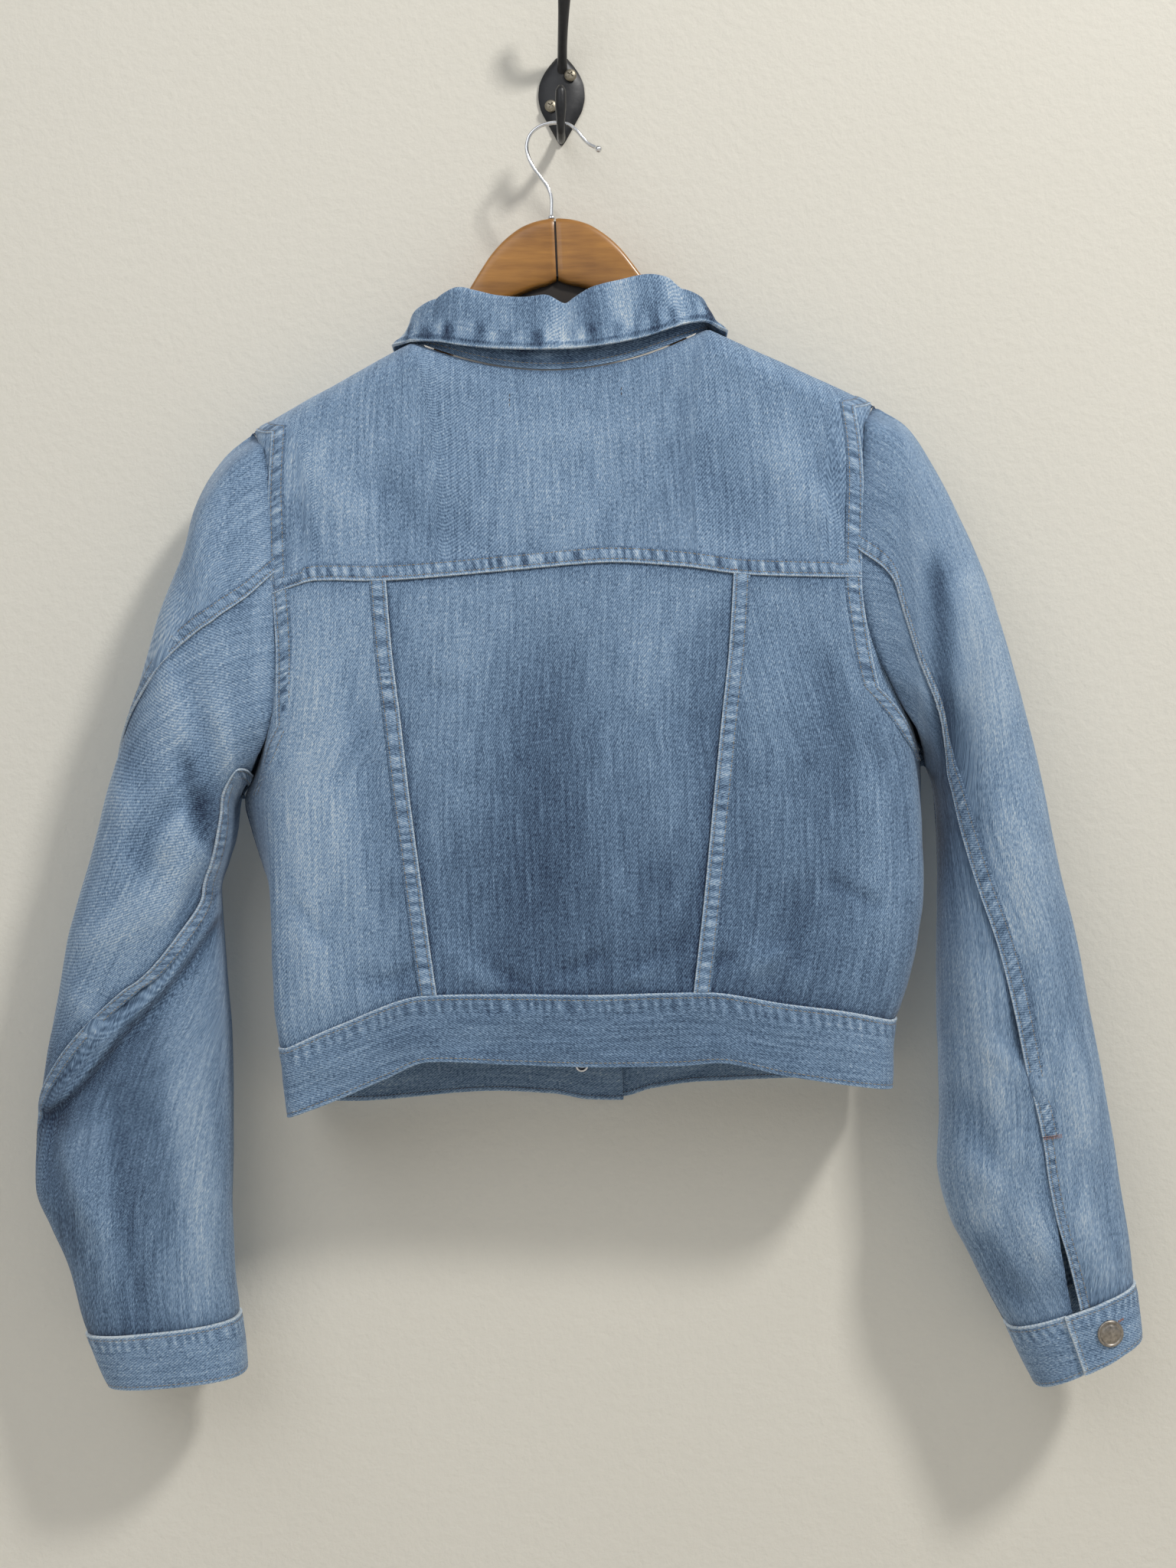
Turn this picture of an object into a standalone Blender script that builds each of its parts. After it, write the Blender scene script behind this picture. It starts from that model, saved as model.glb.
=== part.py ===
"""Denim jacket hung on a wooden hanger from a cast wall hook, its back to the room.

Sizes are millimetres until a mesh is made. The jacket has its own frame: its zero is the middle
of the back neck seam, +X the wearer's right as seen from behind, -Y the back, +Z up.
The finished part stands on the wall plate: the plate's flat back face is the plane Y = 0.
"""
import math

import bmesh
import bpy
import numpy as np

# ------------------------------------------------------------------ driving sizes
MM = 0.001
LEAN = math.radians(2.5)          # the hanging jacket leans this much
NECK_AT = (0.6, -193.0)           # back neck seam middle from the plate centre (X, Z)
CLOTH = 1.4                       # one layer of denim
BAND = 2.4                        # folded strips: waistband, cuffs, collar
GAP = 0.3                         # clear space at every seam

NECK_HALF = 97.0                  # half width of the neck
NECK_RISE = 27.0                  # neck points above the back neck seam
SHOULDER_HALF = 202.5             # half of the width between the sleeve heads
SHOULDER_DROP = 26.5              # sleeve heads below the back neck seam
RIDGE_Y = -34.0                   # shoulder ridge, also the hanger's plane
NECK_DEEP_BACK = 28.0             # back neck seam behind the ridge
NECK_DEEP_FRONT = 18.0            # front neck seam ahead of the ridge
FRONT_NECK_Z = -52.0              # middle of the front neckline
RIDGE_ROUND = 22.0                # height over which the shoulders round off
STAND_BACK = 30.0                 # height of the collar's stand
OVERLAP = 20.5                    # half width of the front closing strips
WAIST_HIGH = 44.0                 # waistband height at the front

CLOTH_COLOUR = (0.20, 0.28, 0.46, 1.0)
WOOD_COLOUR = (0.50, 0.24, 0.07, 1.0)
CHROME_COLOUR = (0.72, 0.72, 0.72, 1.0)
IRON_COLOUR = (0.02, 0.02, 0.022, 1.0)
BRASS_COLOUR = (0.60, 0.42, 0.16, 1.0)
PEWTER_COLOUR = (0.22, 0.21, 0.20, 1.0)


def table(names, *rows):
    """Named columns of a short table."""
    cols = np.array(rows, float).T
    return dict(zip(names.split(), cols))


# outline of one half of the body, from the sleeve head down: edge is the armhole and, below the
# armpit, the side line; fold is where the back turns; power is how square that turn is
EDGE = {
    -1: table("drop x y_back y_front fold power",
              (26.5, 202.5, -35, -33, 201, 6), (40, 197.5, -49, -25, 196, 6),
              (62, 193.2, -62, -19, 192, 6), (103, 190.3, -74, -16, 189, 6),
              (138, 190.3, -78, -15.5, 189, 6), (170, 191, -78, -15.5, 190, 6),
              (207, 194, -75, -17, 192.5, 7), (236, 202, -66, -22, 193, 9),
              (253, 210, -57, -30, 193, 11), (266, 218, -44, -43, 193, 13),
              (282, 215, -44, -43, 193, 14), (310, 208, -44, -43, 194.5, 14),
              (340, 199, -44, -43, 197, 14), (392, 195.5, -44, -43, 198.5, 14),
              (422, 194, -44, -43, 196.5, 13), (466, 190.5, -44, -43, 193, 13),
              (480, 190, -44, -43, 192.5, 13)),
    1: table("drop x y_back y_front fold power",
             (26.5, 202.5, -35, -33, 201, 6), (40, 197.5, -49, -25, 196, 6),
             (64, 193.8, -62, -19, 192.5, 6), (106, 188, -74, -16, 187, 6),
             (143, 185.8, -78, -15.5, 185, 6), (170, 189, -78, -15.5, 188, 6),
             (195, 196, -75, -17, 194, 6), (220, 206.5, -69, -20, 202, 6),
             (243, 217, -59, -28, 208, 6), (262, 222, -45, -43, 211, 6),
             (290, 221, -45, -43, 213, 6), (337, 219, -45, -43, 214, 6),
             (371, 213.5, -45, -43, 210, 6), (396, 207.5, -45, -43, 204, 6),
             (415, 200.5, -45, -43, 197.5, 6), (424, 196, -45, -43, 194, 6),
             (467, 191.5, -45, -43, 190, 6), (480, 191, -45, -43, 189.5, 6)),
}
YOKE_END = {-1: 138.0, 1: 143.6}
WAIST_END, HEM_END = 423.0, 467.5

BACK_DEPTH = table("drop y", (-30, -61), (0, -63.5), (30, -68), (60, -73), (103, -80), (138, -86),
                   (170, -89), (220, -92), (300, -96), (360, -98), (395, -99), (445, -99))
FRONT_DEPTH = table("drop y", (-30, -17), (50, -15), (140, -13), (300, -13), (425, -14), (480, -14))
FLUTES = table("x wide deep", (-101, 34, 5.0), (76, 32, 4.0))     # soft tubes above the hem

YOKE_SEAM = table("x drop", (-190, 138.3), (-178, 134.5), (-160, 130.5), (-117, 132.5),
                  (-38, 129.5), (20, 127), (70, 131.5), (110, 138.5), (152, 141.7), (186, 143.6))
WAIST_SEAM = table("x drop", (-190, 423), (-155, 409), (-100, 393), (-47, 395), (13, 398),
                   (70, 398.5), (123, 408.5), (164, 416), (190, 423))
HEM_BACK = table("x drop", (-192, 467), (-157, 455), (-129, 444), (-101, 434), (-49, 438.5),
                 (19, 443), (55, 443.5), (76, 442.5), (121, 453), (192, 467.5))
HEM_FRONT = table("x drop", (-192, 467), (-150, 469.5), (-76, 466.5), (-26, 470), (0, 475),
                  (22, 474), (38, 470), (72, 466.5), (128, 466.5), (170, 468.5), (192, 467))
SEAM_LEFT = table("drop x", (133, -116), (175, -114), (222, -110), (268, -106.5), (315, -102),
                  (357, -98), (394, -94))
SEAM_RIGHT = table("drop x", (139, 103), (184, 98), (230, 91), (288, 82.5), (346, 74), (397, 65.5))

# one row per ring of a sleeve, from the armhole to the cuff seam; inner is the body side
SLEEVE = {
    -1: table("in_x in_z out_x out_z y deep power seam_back seam_under",
              (-218.5, -265, -202.8, -27, -44, 32, 2.3, 81.5, 150),
              (-220, -267, -222, -45, -48, 37, 2.3, 84, 143),
              (-221, -270, -240, -74, -50, 41, 2.3, 81, 138.5),
              (-221.5, -273, -249, -106, -51, 43, 2.3, 73, 139.5),
              (-221.5, -277, -263, -141, -51, 44, 2.3, 62, 140),
              (-222, -283, -279, -187, -51, 44, 2.3, 39, 142.5),
              (-224, -293, -296, -235, -51, 44, 2.3, 2, 143.5),
              (-229, -307, -309, -275, -51, 43, 2.3, -22, 146),
              (-234.5, -325, -321, -312, -51, 42, 2.3, -34, 145.5),
              (-234, -352, -333, -350, -51, 41, 2.4, -44, 118),
              (-233, -385, -341, -384, -51, 39, 2.4, -52, 86),
              (-232.5, -425, -350.5, -427, -51, 37, 2.4, -60, 42),
              (-233, -470, -357.5, -468, -51, 35, 2.5, -66, 2),
              (-235, -508, -361, -508, -51, 34, 2.5, -70, -14),
              (-236, -535, -352.5, -535, -51, 33, 2.5, -74, -20),
              (-236, -565, -342, -562, -51, 32, 2.5, -78, -24),
              (-234.6, -597, -331.5, -603, -52, 30, 2.6, -80, -27)),
    1: table("in_x in_z out_x out_z y deep power seam_back seam_under",
             (222.5, -263, 202.8, -27, -44, 32, 2.3, 82.5, 204),
             (223.8, -265, 222, -42, -48, 37, 2.3, 87, 208),
             (225, -268, 238, -71, -50, 41, 2.3, 107, 212),
             (226.5, -271, 251, -102, -51, 43, 2.3, 120.5, 216),
             (228, -275, 264, -136, -51, 44, 2.3, 136.5, 220),
             (229.3, -281, 276, -180, -51, 44, 2.3, 142, 222),
             (230, -291, 287, -228, -51, 44, 2.3, 139.5, 222),
             (230, -309, 297, -280, -51, 43, 2.3, 133.5, 222),
             (229, -337, 305.5, -330, -51, 42, 2.3, 121, 222),
             (226.5, -385, 314.5, -376, -51, 40, 2.4, 102, 220),
             (224.5, -430, 321, -421, -52, 38, 2.4, 94, 218),
             (224, -480, 328, -468, -52, 36, 2.5, 90, 216),
             (220.5, -522, 333.5, -513, -53, 34, 2.5, 86.5, 215),
             (226, -553, 337, -547, -54, 33, 2.5, 86.5, 214),
             (238, -580, 339.5, -572, -55, 32, 2.5, 87, 213),
             (249.5, -605, 340.6, -588, -55, 30, 2.5, 88, 212),
             (259, -624, 341.2, -599, -56, 28, 2.6, 89.5, 212)),
}
CUFF = {
    -1: table("in_x in_z out_x out_z y deep power",
              (-234, -597.6, -332, -603.6, -52, 30, 2.6), (-232, -617, -326, -621, -52, 29, 2.6),
              (-231.5, -634, -319, -638, -52, 28, 2.6)),
    1: table("in_x in_z out_x out_z y deep power",
             (259.2, -624.2, 341.6, -599.2, -56, 28, 2.6), (268, -645, 343.4, -616, -57, 27, 2.6),
             (276, -663, 344.4, -634, -57, 26.5, 2.6)),
}
CUFF_MEET = {-1: 262.0, 1: 100.0}      # angle round the sleeve where the cuff's ends meet

# collar, by the turn from the back middle (0) past the neck points (0.5) to the front (1)
ROLL = table("x z", (-101, 33), (-90, 39.5), (-75, 52.4), (-66, 55.5), (-55, 52.5), (-40, 48),
             (-20, 45.6), (-9, 46.4), (4.7, 40.4), (12, 44.5), (24, 50.5), (41, 54.7),
             (62, 58.2), (72, 56.8), (78, 52), (89, 43), (101, 33))
FALL_EDGE = table("x z", (-109, 25), (-98, 24.6), (-83, 22.5), (-66, 18.3), (-42, 14.3), (-17, 12.3),
                  (6, 11.7), (31, 13.6), (56, 18), (72, 23), (88, 27.7), (98, 29.2), (109, 25))
FALL_OUT = table("turn roll low", (0, 2.5, 6.5), (0.3, 2.5, 7.5), (0.42, 1, 9), (0.5, 0, 12.5),
                 (0.6, 2, 11), (0.75, 3.2, 6), (1, 3.4, 4.8))
FALL_FRONT = table("turn roll low", (0.5, 33, 25), (0.54, 31.5, 19), (0.6, 27, -2), (0.7, 10, -34),
                   (0.8, -10, -60), (0.87, -20, -92), (1.0, -31, -80))


def glide(knots, values, at):
    """Smooth curve through the knots that never overshoots; held flat past both ends."""
    k, v = np.asarray(knots, float), np.asarray(values, float)
    h = np.diff(k)
    s = np.diff(v) / h
    m = np.concatenate(([s[0]], np.zeros(len(v) - 2), [s[-1]]))
    for i in range(1, len(v) - 1):
        if s[i - 1] * s[i] > 0:
            a, b = 2 * h[i] + h[i - 1], h[i] + 2 * h[i - 1]
            m[i] = (a + b) / (a / s[i - 1] + b / s[i])
    t = np.clip(np.asarray(at, float), k[0], k[-1])
    i = np.clip(np.searchsorted(k, t, side="right") - 1, 0, len(h) - 1)
    x = (t - k[i]) / h[i]
    return ((1 + 2 * x) * (1 - x) ** 2 * v[i] + x * (1 - x) ** 2 * h[i] * m[i]
            + x * x * (3 - 2 * x) * v[i + 1] + x * x * (x - 1) * h[i] * m[i + 1])


def along(tab, key, column, at):
    return glide(tab[key], tab[column], at)


def lerp(a, b, t):
    return a + (b - a) * t


# ------------------------------------------------------------------ body surfaces
def top_back(x):
    """Height of the back neck seam and the shoulder line."""
    q = np.abs(x)
    slope = (NECK_RISE + SHOULDER_DROP) / (SHOULDER_HALF - NECK_HALF)
    return np.where(q < NECK_HALF, NECK_RISE * (q / NECK_HALF) ** 2,
                    NECK_RISE - (q - NECK_HALF) * slope)


def top_front(x):
    """Height of the front neckline and the shoulder line."""
    q = np.abs(x)
    return np.where(q < NECK_HALF,
                    FRONT_NECK_Z + (NECK_RISE - FRONT_NECK_Z) * (q / NECK_HALF) ** 2.4, top_back(x))


def ring_depth(x, deep):
    """Depth of the neck ring at x, zero past the neck points."""
    return deep * np.sqrt(np.clip(1 - (x / NECK_HALF) ** 2, 0, 1))


def back_depth(x, z):
    """Depth of the flat of the back, with the tubes that stand out above the hem."""
    y = along(BACK_DEPTH, "drop", "y", -z)
    grow = np.clip((-z - 250) / 150, 0, 1)
    for fx, wide, deep in zip(FLUTES["x"], FLUTES["wide"], FLUTES["deep"]):
        y = y - deep * grow * grow * np.exp(-((x - fx) / wide) ** 2)
    return y


def front_depth(x, z, side):
    """Depth of the front; the right front laps outside the left at the middle."""
    y = along(FRONT_DEPTH, "drop", "y", -z)
    return y + side * 1.5 * np.exp(-(np.clip(side * x + OVERLAP, 0, None) / 60.0) ** 2)


REGION = {
    "yoke": (lambda x: top_back(x), lambda x: -along(YOKE_SEAM, "x", "drop", x), True),
    "back": (lambda x: -along(YOKE_SEAM, "x", "drop", x), lambda x: -along(WAIST_SEAM, "x", "drop", x),
             True),
    "band_back": (lambda x: -along(WAIST_SEAM, "x", "drop", x), lambda x: -along(HEM_BACK, "x", "drop", x),
                  True),
    "front": (lambda x: top_front(x), lambda x: WAIST_HIGH - along(HEM_FRONT, "x", "drop", x), False),
    "band_front": (lambda x: WAIST_HIGH - along(HEM_FRONT, "x", "drop", x),
                   lambda x: -along(HEM_FRONT, "x", "drop", x), False),
}


def levels(region, side, v):
    """Drop of the edge point of a row."""
    spans = {"yoke": (SHOULDER_DROP, YOKE_END[side]), "back": (YOKE_END[side], WAIST_END),
             "band_back": (WAIST_END, HEM_END), "front": (SHOULDER_DROP, WAIST_END),
             "band_front": (WAIST_END, HEM_END)}
    lo, hi = spans[region]
    return lerp(lo, hi, v)


def share_of(region, side, x, v):
    """Share across (0 middle, 1 edge) at which a row passes the given |x|."""
    d = levels(region, side, v)
    e = EDGE[side]
    fold, power = glide(e["drop"], e["fold"], d), glide(e["drop"], e["power"], d)
    y_edge = glide(e["drop"], e["y_back" if REGION[region][2] else "y_front"], d)
    flat = along(BACK_DEPTH if REGION[region][2] else FRONT_DEPTH, "drop", "y", d)
    depth = np.abs(flat - y_edge) + 0.5
    p = np.abs(x) / fold
    return p / (1 - p ** power) ** (1 / power) * fold / (fold + depth)


def body(region, s, v):
    """Points of the body; s runs -1 (left edge) to 1 (right edge), v down the region."""
    s, v = np.broadcast_arrays(np.asarray(s, float), np.asarray(v, float))
    out = np.zeros(s.shape + (3,))
    top, low, is_back = REGION[region]
    for side in (-1, 1):
        pick = (s < 0) if side < 0 else (s >= 0)
        if not pick.any():
            continue
        c, vv = np.abs(s[pick]), v[pick]
        d = levels(region, side, vv)
        e = EDGE[side]
        edge, fold = glide(e["drop"], e["x"], d), glide(e["drop"], e["fold"], d)
        power = glide(e["drop"], e["power"], d)
        y_edge = glide(e["drop"], e["y_back" if is_back else "y_front"], d)
        flat = along(BACK_DEPTH if is_back else FRONT_DEPTH, "drop", "y", d)
        depth = np.abs(flat - y_edge) + 0.5
        run = c * (fold + depth)
        cx = np.minimum(run / fold, 1.0)
        cy = np.clip(1 - (run - fold) / depth, 0.0, 1.0)
        norm = (cx ** power + cy ** power) ** (1 / power)
        px, py = cx / norm, cy / norm
        x = side * px * (fold + (edge - fold) * (1 - py))
        z = lerp(top(x), low(x), vv)
        y = back_depth(x, z) if is_back else front_depth(x, z, side)
        if region in ("yoke", "front"):
            start = RIDGE_Y - ring_depth(x, NECK_DEEP_BACK if is_back else -NECK_DEEP_FRONT)
            u = np.clip((top(x) - z) / RIDGE_ROUND, 0, 1)
            y = start + (y - start) * np.sqrt(1 - (1 - u) ** 2)
        out[pick] = np.stack((x, y_edge + (y - y_edge) * py, z), axis=-1)
    return out


# ------------------------------------------------------------------ sleeve surfaces
def ring_point(tab, step, angle):
    """A point of a tube: step runs over the table's rows, angle round the ring (degrees)."""
    k = np.arange(len(tab["y"]))
    g = {n: glide(k, tab[n], step) for n in tab}
    a = np.radians(angle)
    ca = np.sign(np.cos(a)) * np.abs(np.cos(a)) ** (2 / g["power"])
    sa = np.sign(np.sin(a)) * np.abs(np.sin(a)) ** (2 / g["power"])
    x = (g["in_x"] + g["out_x"]) / 2 + (g["out_x"] - g["in_x"]) / 2 * ca
    z = (g["in_z"] + g["out_z"]) / 2 + (g["out_z"] - g["in_z"]) / 2 * ca
    return np.stack((x, g["y"] - g["deep"] * sa, z), axis=-1)


def armhole(side, z, back):
    """The armhole seam at height z."""
    e = EDGE[side]
    x = side * (glide(e["drop"], e["x"], -z) + np.where(back, 2, 5) * GAP)
    y = np.where(back, glide(e["drop"], e["y_back"], -z), glide(e["drop"], e["y_front"], -z))
    return np.stack((x, y, z), axis=-1)


def twist(side, p, angle):
    """The long slanting fold of the left sleeve and the soft crumple of the right elbow."""
    if side > 0:
        return p
    line = glide([-345, -326, -297, -258, -230, -212], [-446, -432, -400, -361, -318, -272], p[..., 0])
    below = line - p[..., 2]
    facing = np.clip(np.sin(np.radians(angle)) * 1.6, 0, 1)
    step = np.clip(below / 7.0, 0, 1) * np.exp(-np.clip(below, 0, None) / 42.0)
    inside = np.clip((-205 - p[..., 0]) / 25, 0, 1)
    q = p.copy()
    q[..., 1] += 9.0 * step * facing * inside
    return q


def sleeve(side, angle, step):
    """Points of a sleeve; the first rings bend from the armhole's own shape to plain rings."""
    step, angle = np.broadcast_arrays(np.asarray(step, float), np.asarray(angle, float))
    p = ring_point(SLEEVE[side], step, angle)
    first = ring_point(SLEEVE[side], np.zeros_like(step), angle)
    seam = armhole(side, first[..., 2], np.sin(np.radians(angle)) >= 0)
    fade = np.clip(1 - step / 4.5, 0, 1)
    p = p + (seam - first) * (fade ** 1.5)[..., None]
    return twist(side, p, angle)


def seam_angle(side, which, step):
    return glide(np.arange(len(SLEEVE[side]["y"])), SLEEVE[side][which], step)


# ------------------------------------------------------------------ collar surfaces
def neck(turn):
    """The neck seam; turn runs -1 (front, left) through 0 (back) to 1 (front, right)."""
    x = NECK_HALF * np.sin(math.pi * turn)
    back = np.abs(turn) <= 0.5
    deep = np.where(back, NECK_DEEP_BACK, NECK_DEEP_FRONT)
    y = RIDGE_Y - deep * np.cos(math.pi * turn)
    return np.stack((x, y, np.where(back, top_back(x), top_front(x))), axis=-1)


def pushed(turn, out, z):
    """The neck ring widened by out, at height z."""
    deep = np.where(np.abs(turn) <= 0.5, NECK_DEEP_BACK, NECK_DEEP_FRONT)
    return np.stack(((NECK_HALF + out) * np.sin(math.pi * turn),
                     RIDGE_Y - (deep + out) * np.cos(math.pi * turn), z), axis=-1)


def clear_of_body(p, front, lift):
    """Moves points that fall below the shoulder and neck line out past the body's surface."""
    x, z = p[..., 0], p[..., 2]
    top = np.where(front, top_front(x), top_back(x)) + lift
    deep = np.where(front, -NECK_DEEP_FRONT, NECK_DEEP_BACK)
    start = RIDGE_Y - ring_depth(x, deep)
    flat = np.where(front, front_depth(x, z, np.sign(x)) + lift, back_depth(x, z) - lift)
    u = np.clip((top - z) / RIDGE_ROUND, 0, 1)
    limit = start + (flat - start) * np.sqrt(1 - (1 - u) ** 2)
    q = p.copy()
    below = z < top
    q[..., 1] = np.where(below & front, np.maximum(p[..., 1], limit), q[..., 1])
    q[..., 1] = np.where(below & ~front, np.minimum(p[..., 1], limit), q[..., 1])
    return q


def stand_height(turn):
    """Height of the stand; low at the sides where the collar lies down on the shoulders."""
    return glide([0, 0.25, 0.38, 0.5, 0.7, 1.0], [STAND_BACK, 30, 18, 4.5, 8, 12], np.abs(turn))


def stand(turn, v):
    base = neck(turn)
    rise = 0.9 + (stand_height(turn) - 0.9) * v
    return pushed(turn, -0.6 + 0 * turn, base[..., 2] + rise)


def fall(turn, w):
    """The fall: w 0 at the stand, up to the roll at 0.35, then down its outside to the edge."""
    down = np.clip((w - 0.45) / 0.55, 0, 1)
    turn = turn * (1 - 0.12 * down * np.clip(np.abs(turn) / 0.985, 0, 1) ** 6)
    q = np.abs(turn)
    base = neck(turn)
    root = base[..., 2] + stand_height(turn) + 0.5
    out_roll, out_low = along(FALL_OUT, "turn", "roll", q), along(FALL_OUT, "turn", "low", q)
    x_mid = (NECK_HALF + 4) * np.sin(math.pi * turn)
    roll = np.where(q <= 0.5, along(ROLL, "x", "z", x_mid), along(FALL_FRONT, "turn", "roll", q))
    low = np.where(q <= 0.5, along(FALL_EDGE, "x", "z", x_mid * 1.08),
                   along(FALL_FRONT, "turn", "low", q))
    roll = np.maximum(roll, root + 4.0)
    up = np.clip(w / 0.3, 0, 1)
    over = np.clip((w - 0.3) / 0.15, 0, 1)
    out = -0.6 + (out_roll + 0.6) * (1 - np.cos(math.pi * over)) / 2 + (out_low - out_roll) * down
    arch = 1.6 * np.sin(math.pi * np.clip((w - 0.3) / 0.15, 0, 1))
    z = lerp(root, roll - 1.6, up) + arch
    z = np.where(w > 0.45, lerp(roll - 1.6, low, down), z)
    lift = 1.3 + 2.9 * np.exp(-((q - 0.56) / 0.07) ** 2)
    p = pushed(turn, out, z)
    return np.where((w > 0.45)[..., None], clear_of_body(p, q > 0.5, lift), p)


# ------------------------------------------------------------------ solids
def place(points):
    """Jacket frame to the wall plate's frame, in metres."""
    p = np.asarray(points, float)
    x = NECK_AT[0] + p[..., 0] * math.cos(LEAN) - p[..., 2] * math.sin(LEAN)
    z = NECK_AT[1] + p[..., 0] * math.sin(LEAN) + p[..., 2] * math.cos(LEAN)
    return np.stack((x, p[..., 1], z), axis=-1) * MM


def finish_for(name, colour, rough, metal):
    mat = bpy.data.materials.new(name)
    mat.use_nodes = True
    node = mat.node_tree.nodes["Principled BSDF"]
    node.inputs["Base Color"].default_value = colour
    node.inputs["Roughness"].default_value = rough
    node.inputs["Metallic"].default_value = metal
    return mat


def solid(name, verts, faces, colour, rough=0.85, metal=0.0):
    """A closed mesh object with its own material; its faces are turned to look outwards."""
    mesh = bpy.data.meshes.new(name)
    mesh.from_pydata([tuple(map(float, v)) for v in verts], [], faces)
    bm = bmesh.new()
    bm.from_mesh(mesh)
    bmesh.ops.recalc_face_normals(bm, faces=bm.faces)
    if bm.calc_volume(signed=True) < 0:
        bmesh.ops.reverse_faces(bm, faces=bm.faces)
    bm.to_mesh(mesh)
    bm.free()
    obj = bpy.data.objects.new(name, mesh)
    bpy.context.collection.objects.link(obj)
    mesh.materials.append(finish_for(name + "_finish", colour, rough, metal))
    return obj


def normals_of(surface, u, v, du, dv, lo, hi):
    """Unit normals of surface(u, v) by small steps kept inside v's limits."""
    v0, v1 = np.clip(v - dv, lo, hi), np.clip(v + dv, lo, hi)
    a = surface(u + du, v) - surface(u - du, v)
    b = surface(u, v1) - surface(u, v0)
    n = np.cross(a, b)
    return n / np.maximum(np.linalg.norm(n, axis=-1, keepdims=True), 1e-9)


def trimmed(grid, left, right, top, low):
    """Draws the four borders of a grid inwards by the given distances."""
    g = grid.copy()
    for index, inner, amount in ((0, 1, left), (-1, -2, right)):
        if amount:
            d = grid[:, inner] - grid[:, index]
            g[:, index] += d / np.maximum(np.linalg.norm(d, axis=-1, keepdims=True), 1e-9) * amount
    for index, inner, amount in ((0, 1, top), (-1, -2, low)):
        if amount:
            d = grid[inner] - grid[index]
            g[index] += d / np.maximum(np.linalg.norm(d, axis=-1, keepdims=True), 1e-9) * amount
    return g


def skin(name, outer, inner, colour=CLOTH_COLOUR, wrap=False, rough=0.85, metal=0.0):
    """The closed wall between two grids of points."""
    rows, cols = outer.shape[:2]
    verts = np.concatenate((place(outer).reshape(-1, 3), place(inner).reshape(-1, 3)))
    base = rows * cols
    faces = []
    last = cols if wrap else cols - 1
    for r in range(rows - 1):
        for c in range(last):
            d = (c + 1) % cols
            quad = (r * cols + c, r * cols + d, (r + 1) * cols + d, (r + 1) * cols + c)
            faces.append(quad)
            faces.append(tuple(base + i for i in reversed(quad)))
    for c in range(last):
        d = (c + 1) % cols
        for r, turn in ((0, False), (rows - 1, True)):
            a, b = r * cols + c, r * cols + d
            quad = (b, a, base + a, base + b)
            faces.append(tuple(reversed(quad)) if turn else quad)
    if not wrap:
        for r in range(rows - 1):
            for c, turn in ((0, True), (cols - 1, False)):
                a, b = r * cols + c, (r + 1) * cols + c
                quad = (b, a, base + a, base + b)
                faces.append(tuple(reversed(quad)) if turn else quad)
    return solid(name, verts, faces, colour, rough, metal)


def panel(name, surface, u, v, du, dv, thick, out_sign, trims, lift=0.0, span=(0.0, 1.0), spin=None):
    """A cloth panel: surface(u, v) sampled on matching arrays, thickened to its inside."""
    pts = surface(u, v)
    n = normals_of(surface, u, v, du, dv, *span) * out_sign
    outer = trimmed(pts + n * lift, *trims)
    inner = trimmed(pts + n * (lift - thick), *trims)
    return skin(name, outer, inner)


def rows_of(v, count):
    return np.repeat(np.asarray(v, float)[:, None], count, axis=1)


SIDE_SEAM_LEFT = ("x", lambda v: along(SEAM_LEFT, "drop", "x", lerp(133, 394, v)))
SIDE_SEAM_RIGHT = ("x", lambda v: along(SEAM_RIGHT, "drop", "x", lerp(139, 397, v)))
BACK_LEFT = {"knots": [("s", -1), ("s", -0.83), SIDE_SEAM_LEFT], "steps": [4, 4]}
BACK_CENTRE = {"knots": [SIDE_SEAM_LEFT, ("s", 0), SIDE_SEAM_RIGHT], "steps": [4, 4]}
BACK_RIGHT = {"knots": [SIDE_SEAM_RIGHT, ("s", 0.8), ("s", 1)], "steps": [4, 5]}
YOKE = {"knots": [("s", -1), ("x", lambda v: lerp(-NECK_HALF, -118, v)), ("s", 0),
                  ("x", lambda v: lerp(NECK_HALF, 112, v)), ("s", 1)], "steps": [6, 6, 6, 6]}
FRONT_LEFT = {"knots": [("s", -1), ("s", -0.84), ("x", lambda v: lerp(-NECK_HALF, -104, np.sqrt(v))),
                        ("x", -OVERLAP)], "steps": [3, 2, 4]}
FRONT_RIGHT = {"knots": [("x", OVERLAP), ("x", lambda v: lerp(NECK_HALF, 104, np.sqrt(v))),
                         ("s", 0.84), ("s", 1)], "steps": [4, 2, 3]}


def body_columns(region, v, marks):
    """Columns of a body panel. marks: list of (kind, value, steps); kind x or s (share)."""
    ends = []
    for kind, value in marks["knots"]:
        if kind == "x":
            val = value(v) if callable(value) else np.full_like(v, value)
            side = -1 if np.mean(val) < 0 else 1
            ends.append(side * share_of(region, side, val, v))
        else:
            ends.append(np.full_like(v, value))
    cols = []
    for k, steps in enumerate(marks["steps"]):
        for i in range(steps):
            cols.append(lerp(ends[k], ends[k + 1], i / steps))
    cols.append(ends[-1])
    return np.stack(cols, axis=1)


def body_panel(name, region, v, marks, trims, thick=CLOTH):
    v = np.asarray(v, float)
    s = body_columns(region, v, marks)
    sign = -1 if REGION[region][2] else 1
    panel(name, lambda a, b: body(region, a, b), s, rows_of(v, s.shape[1]), 0.003, 0.0004, thick,
          sign, trims)


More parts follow.
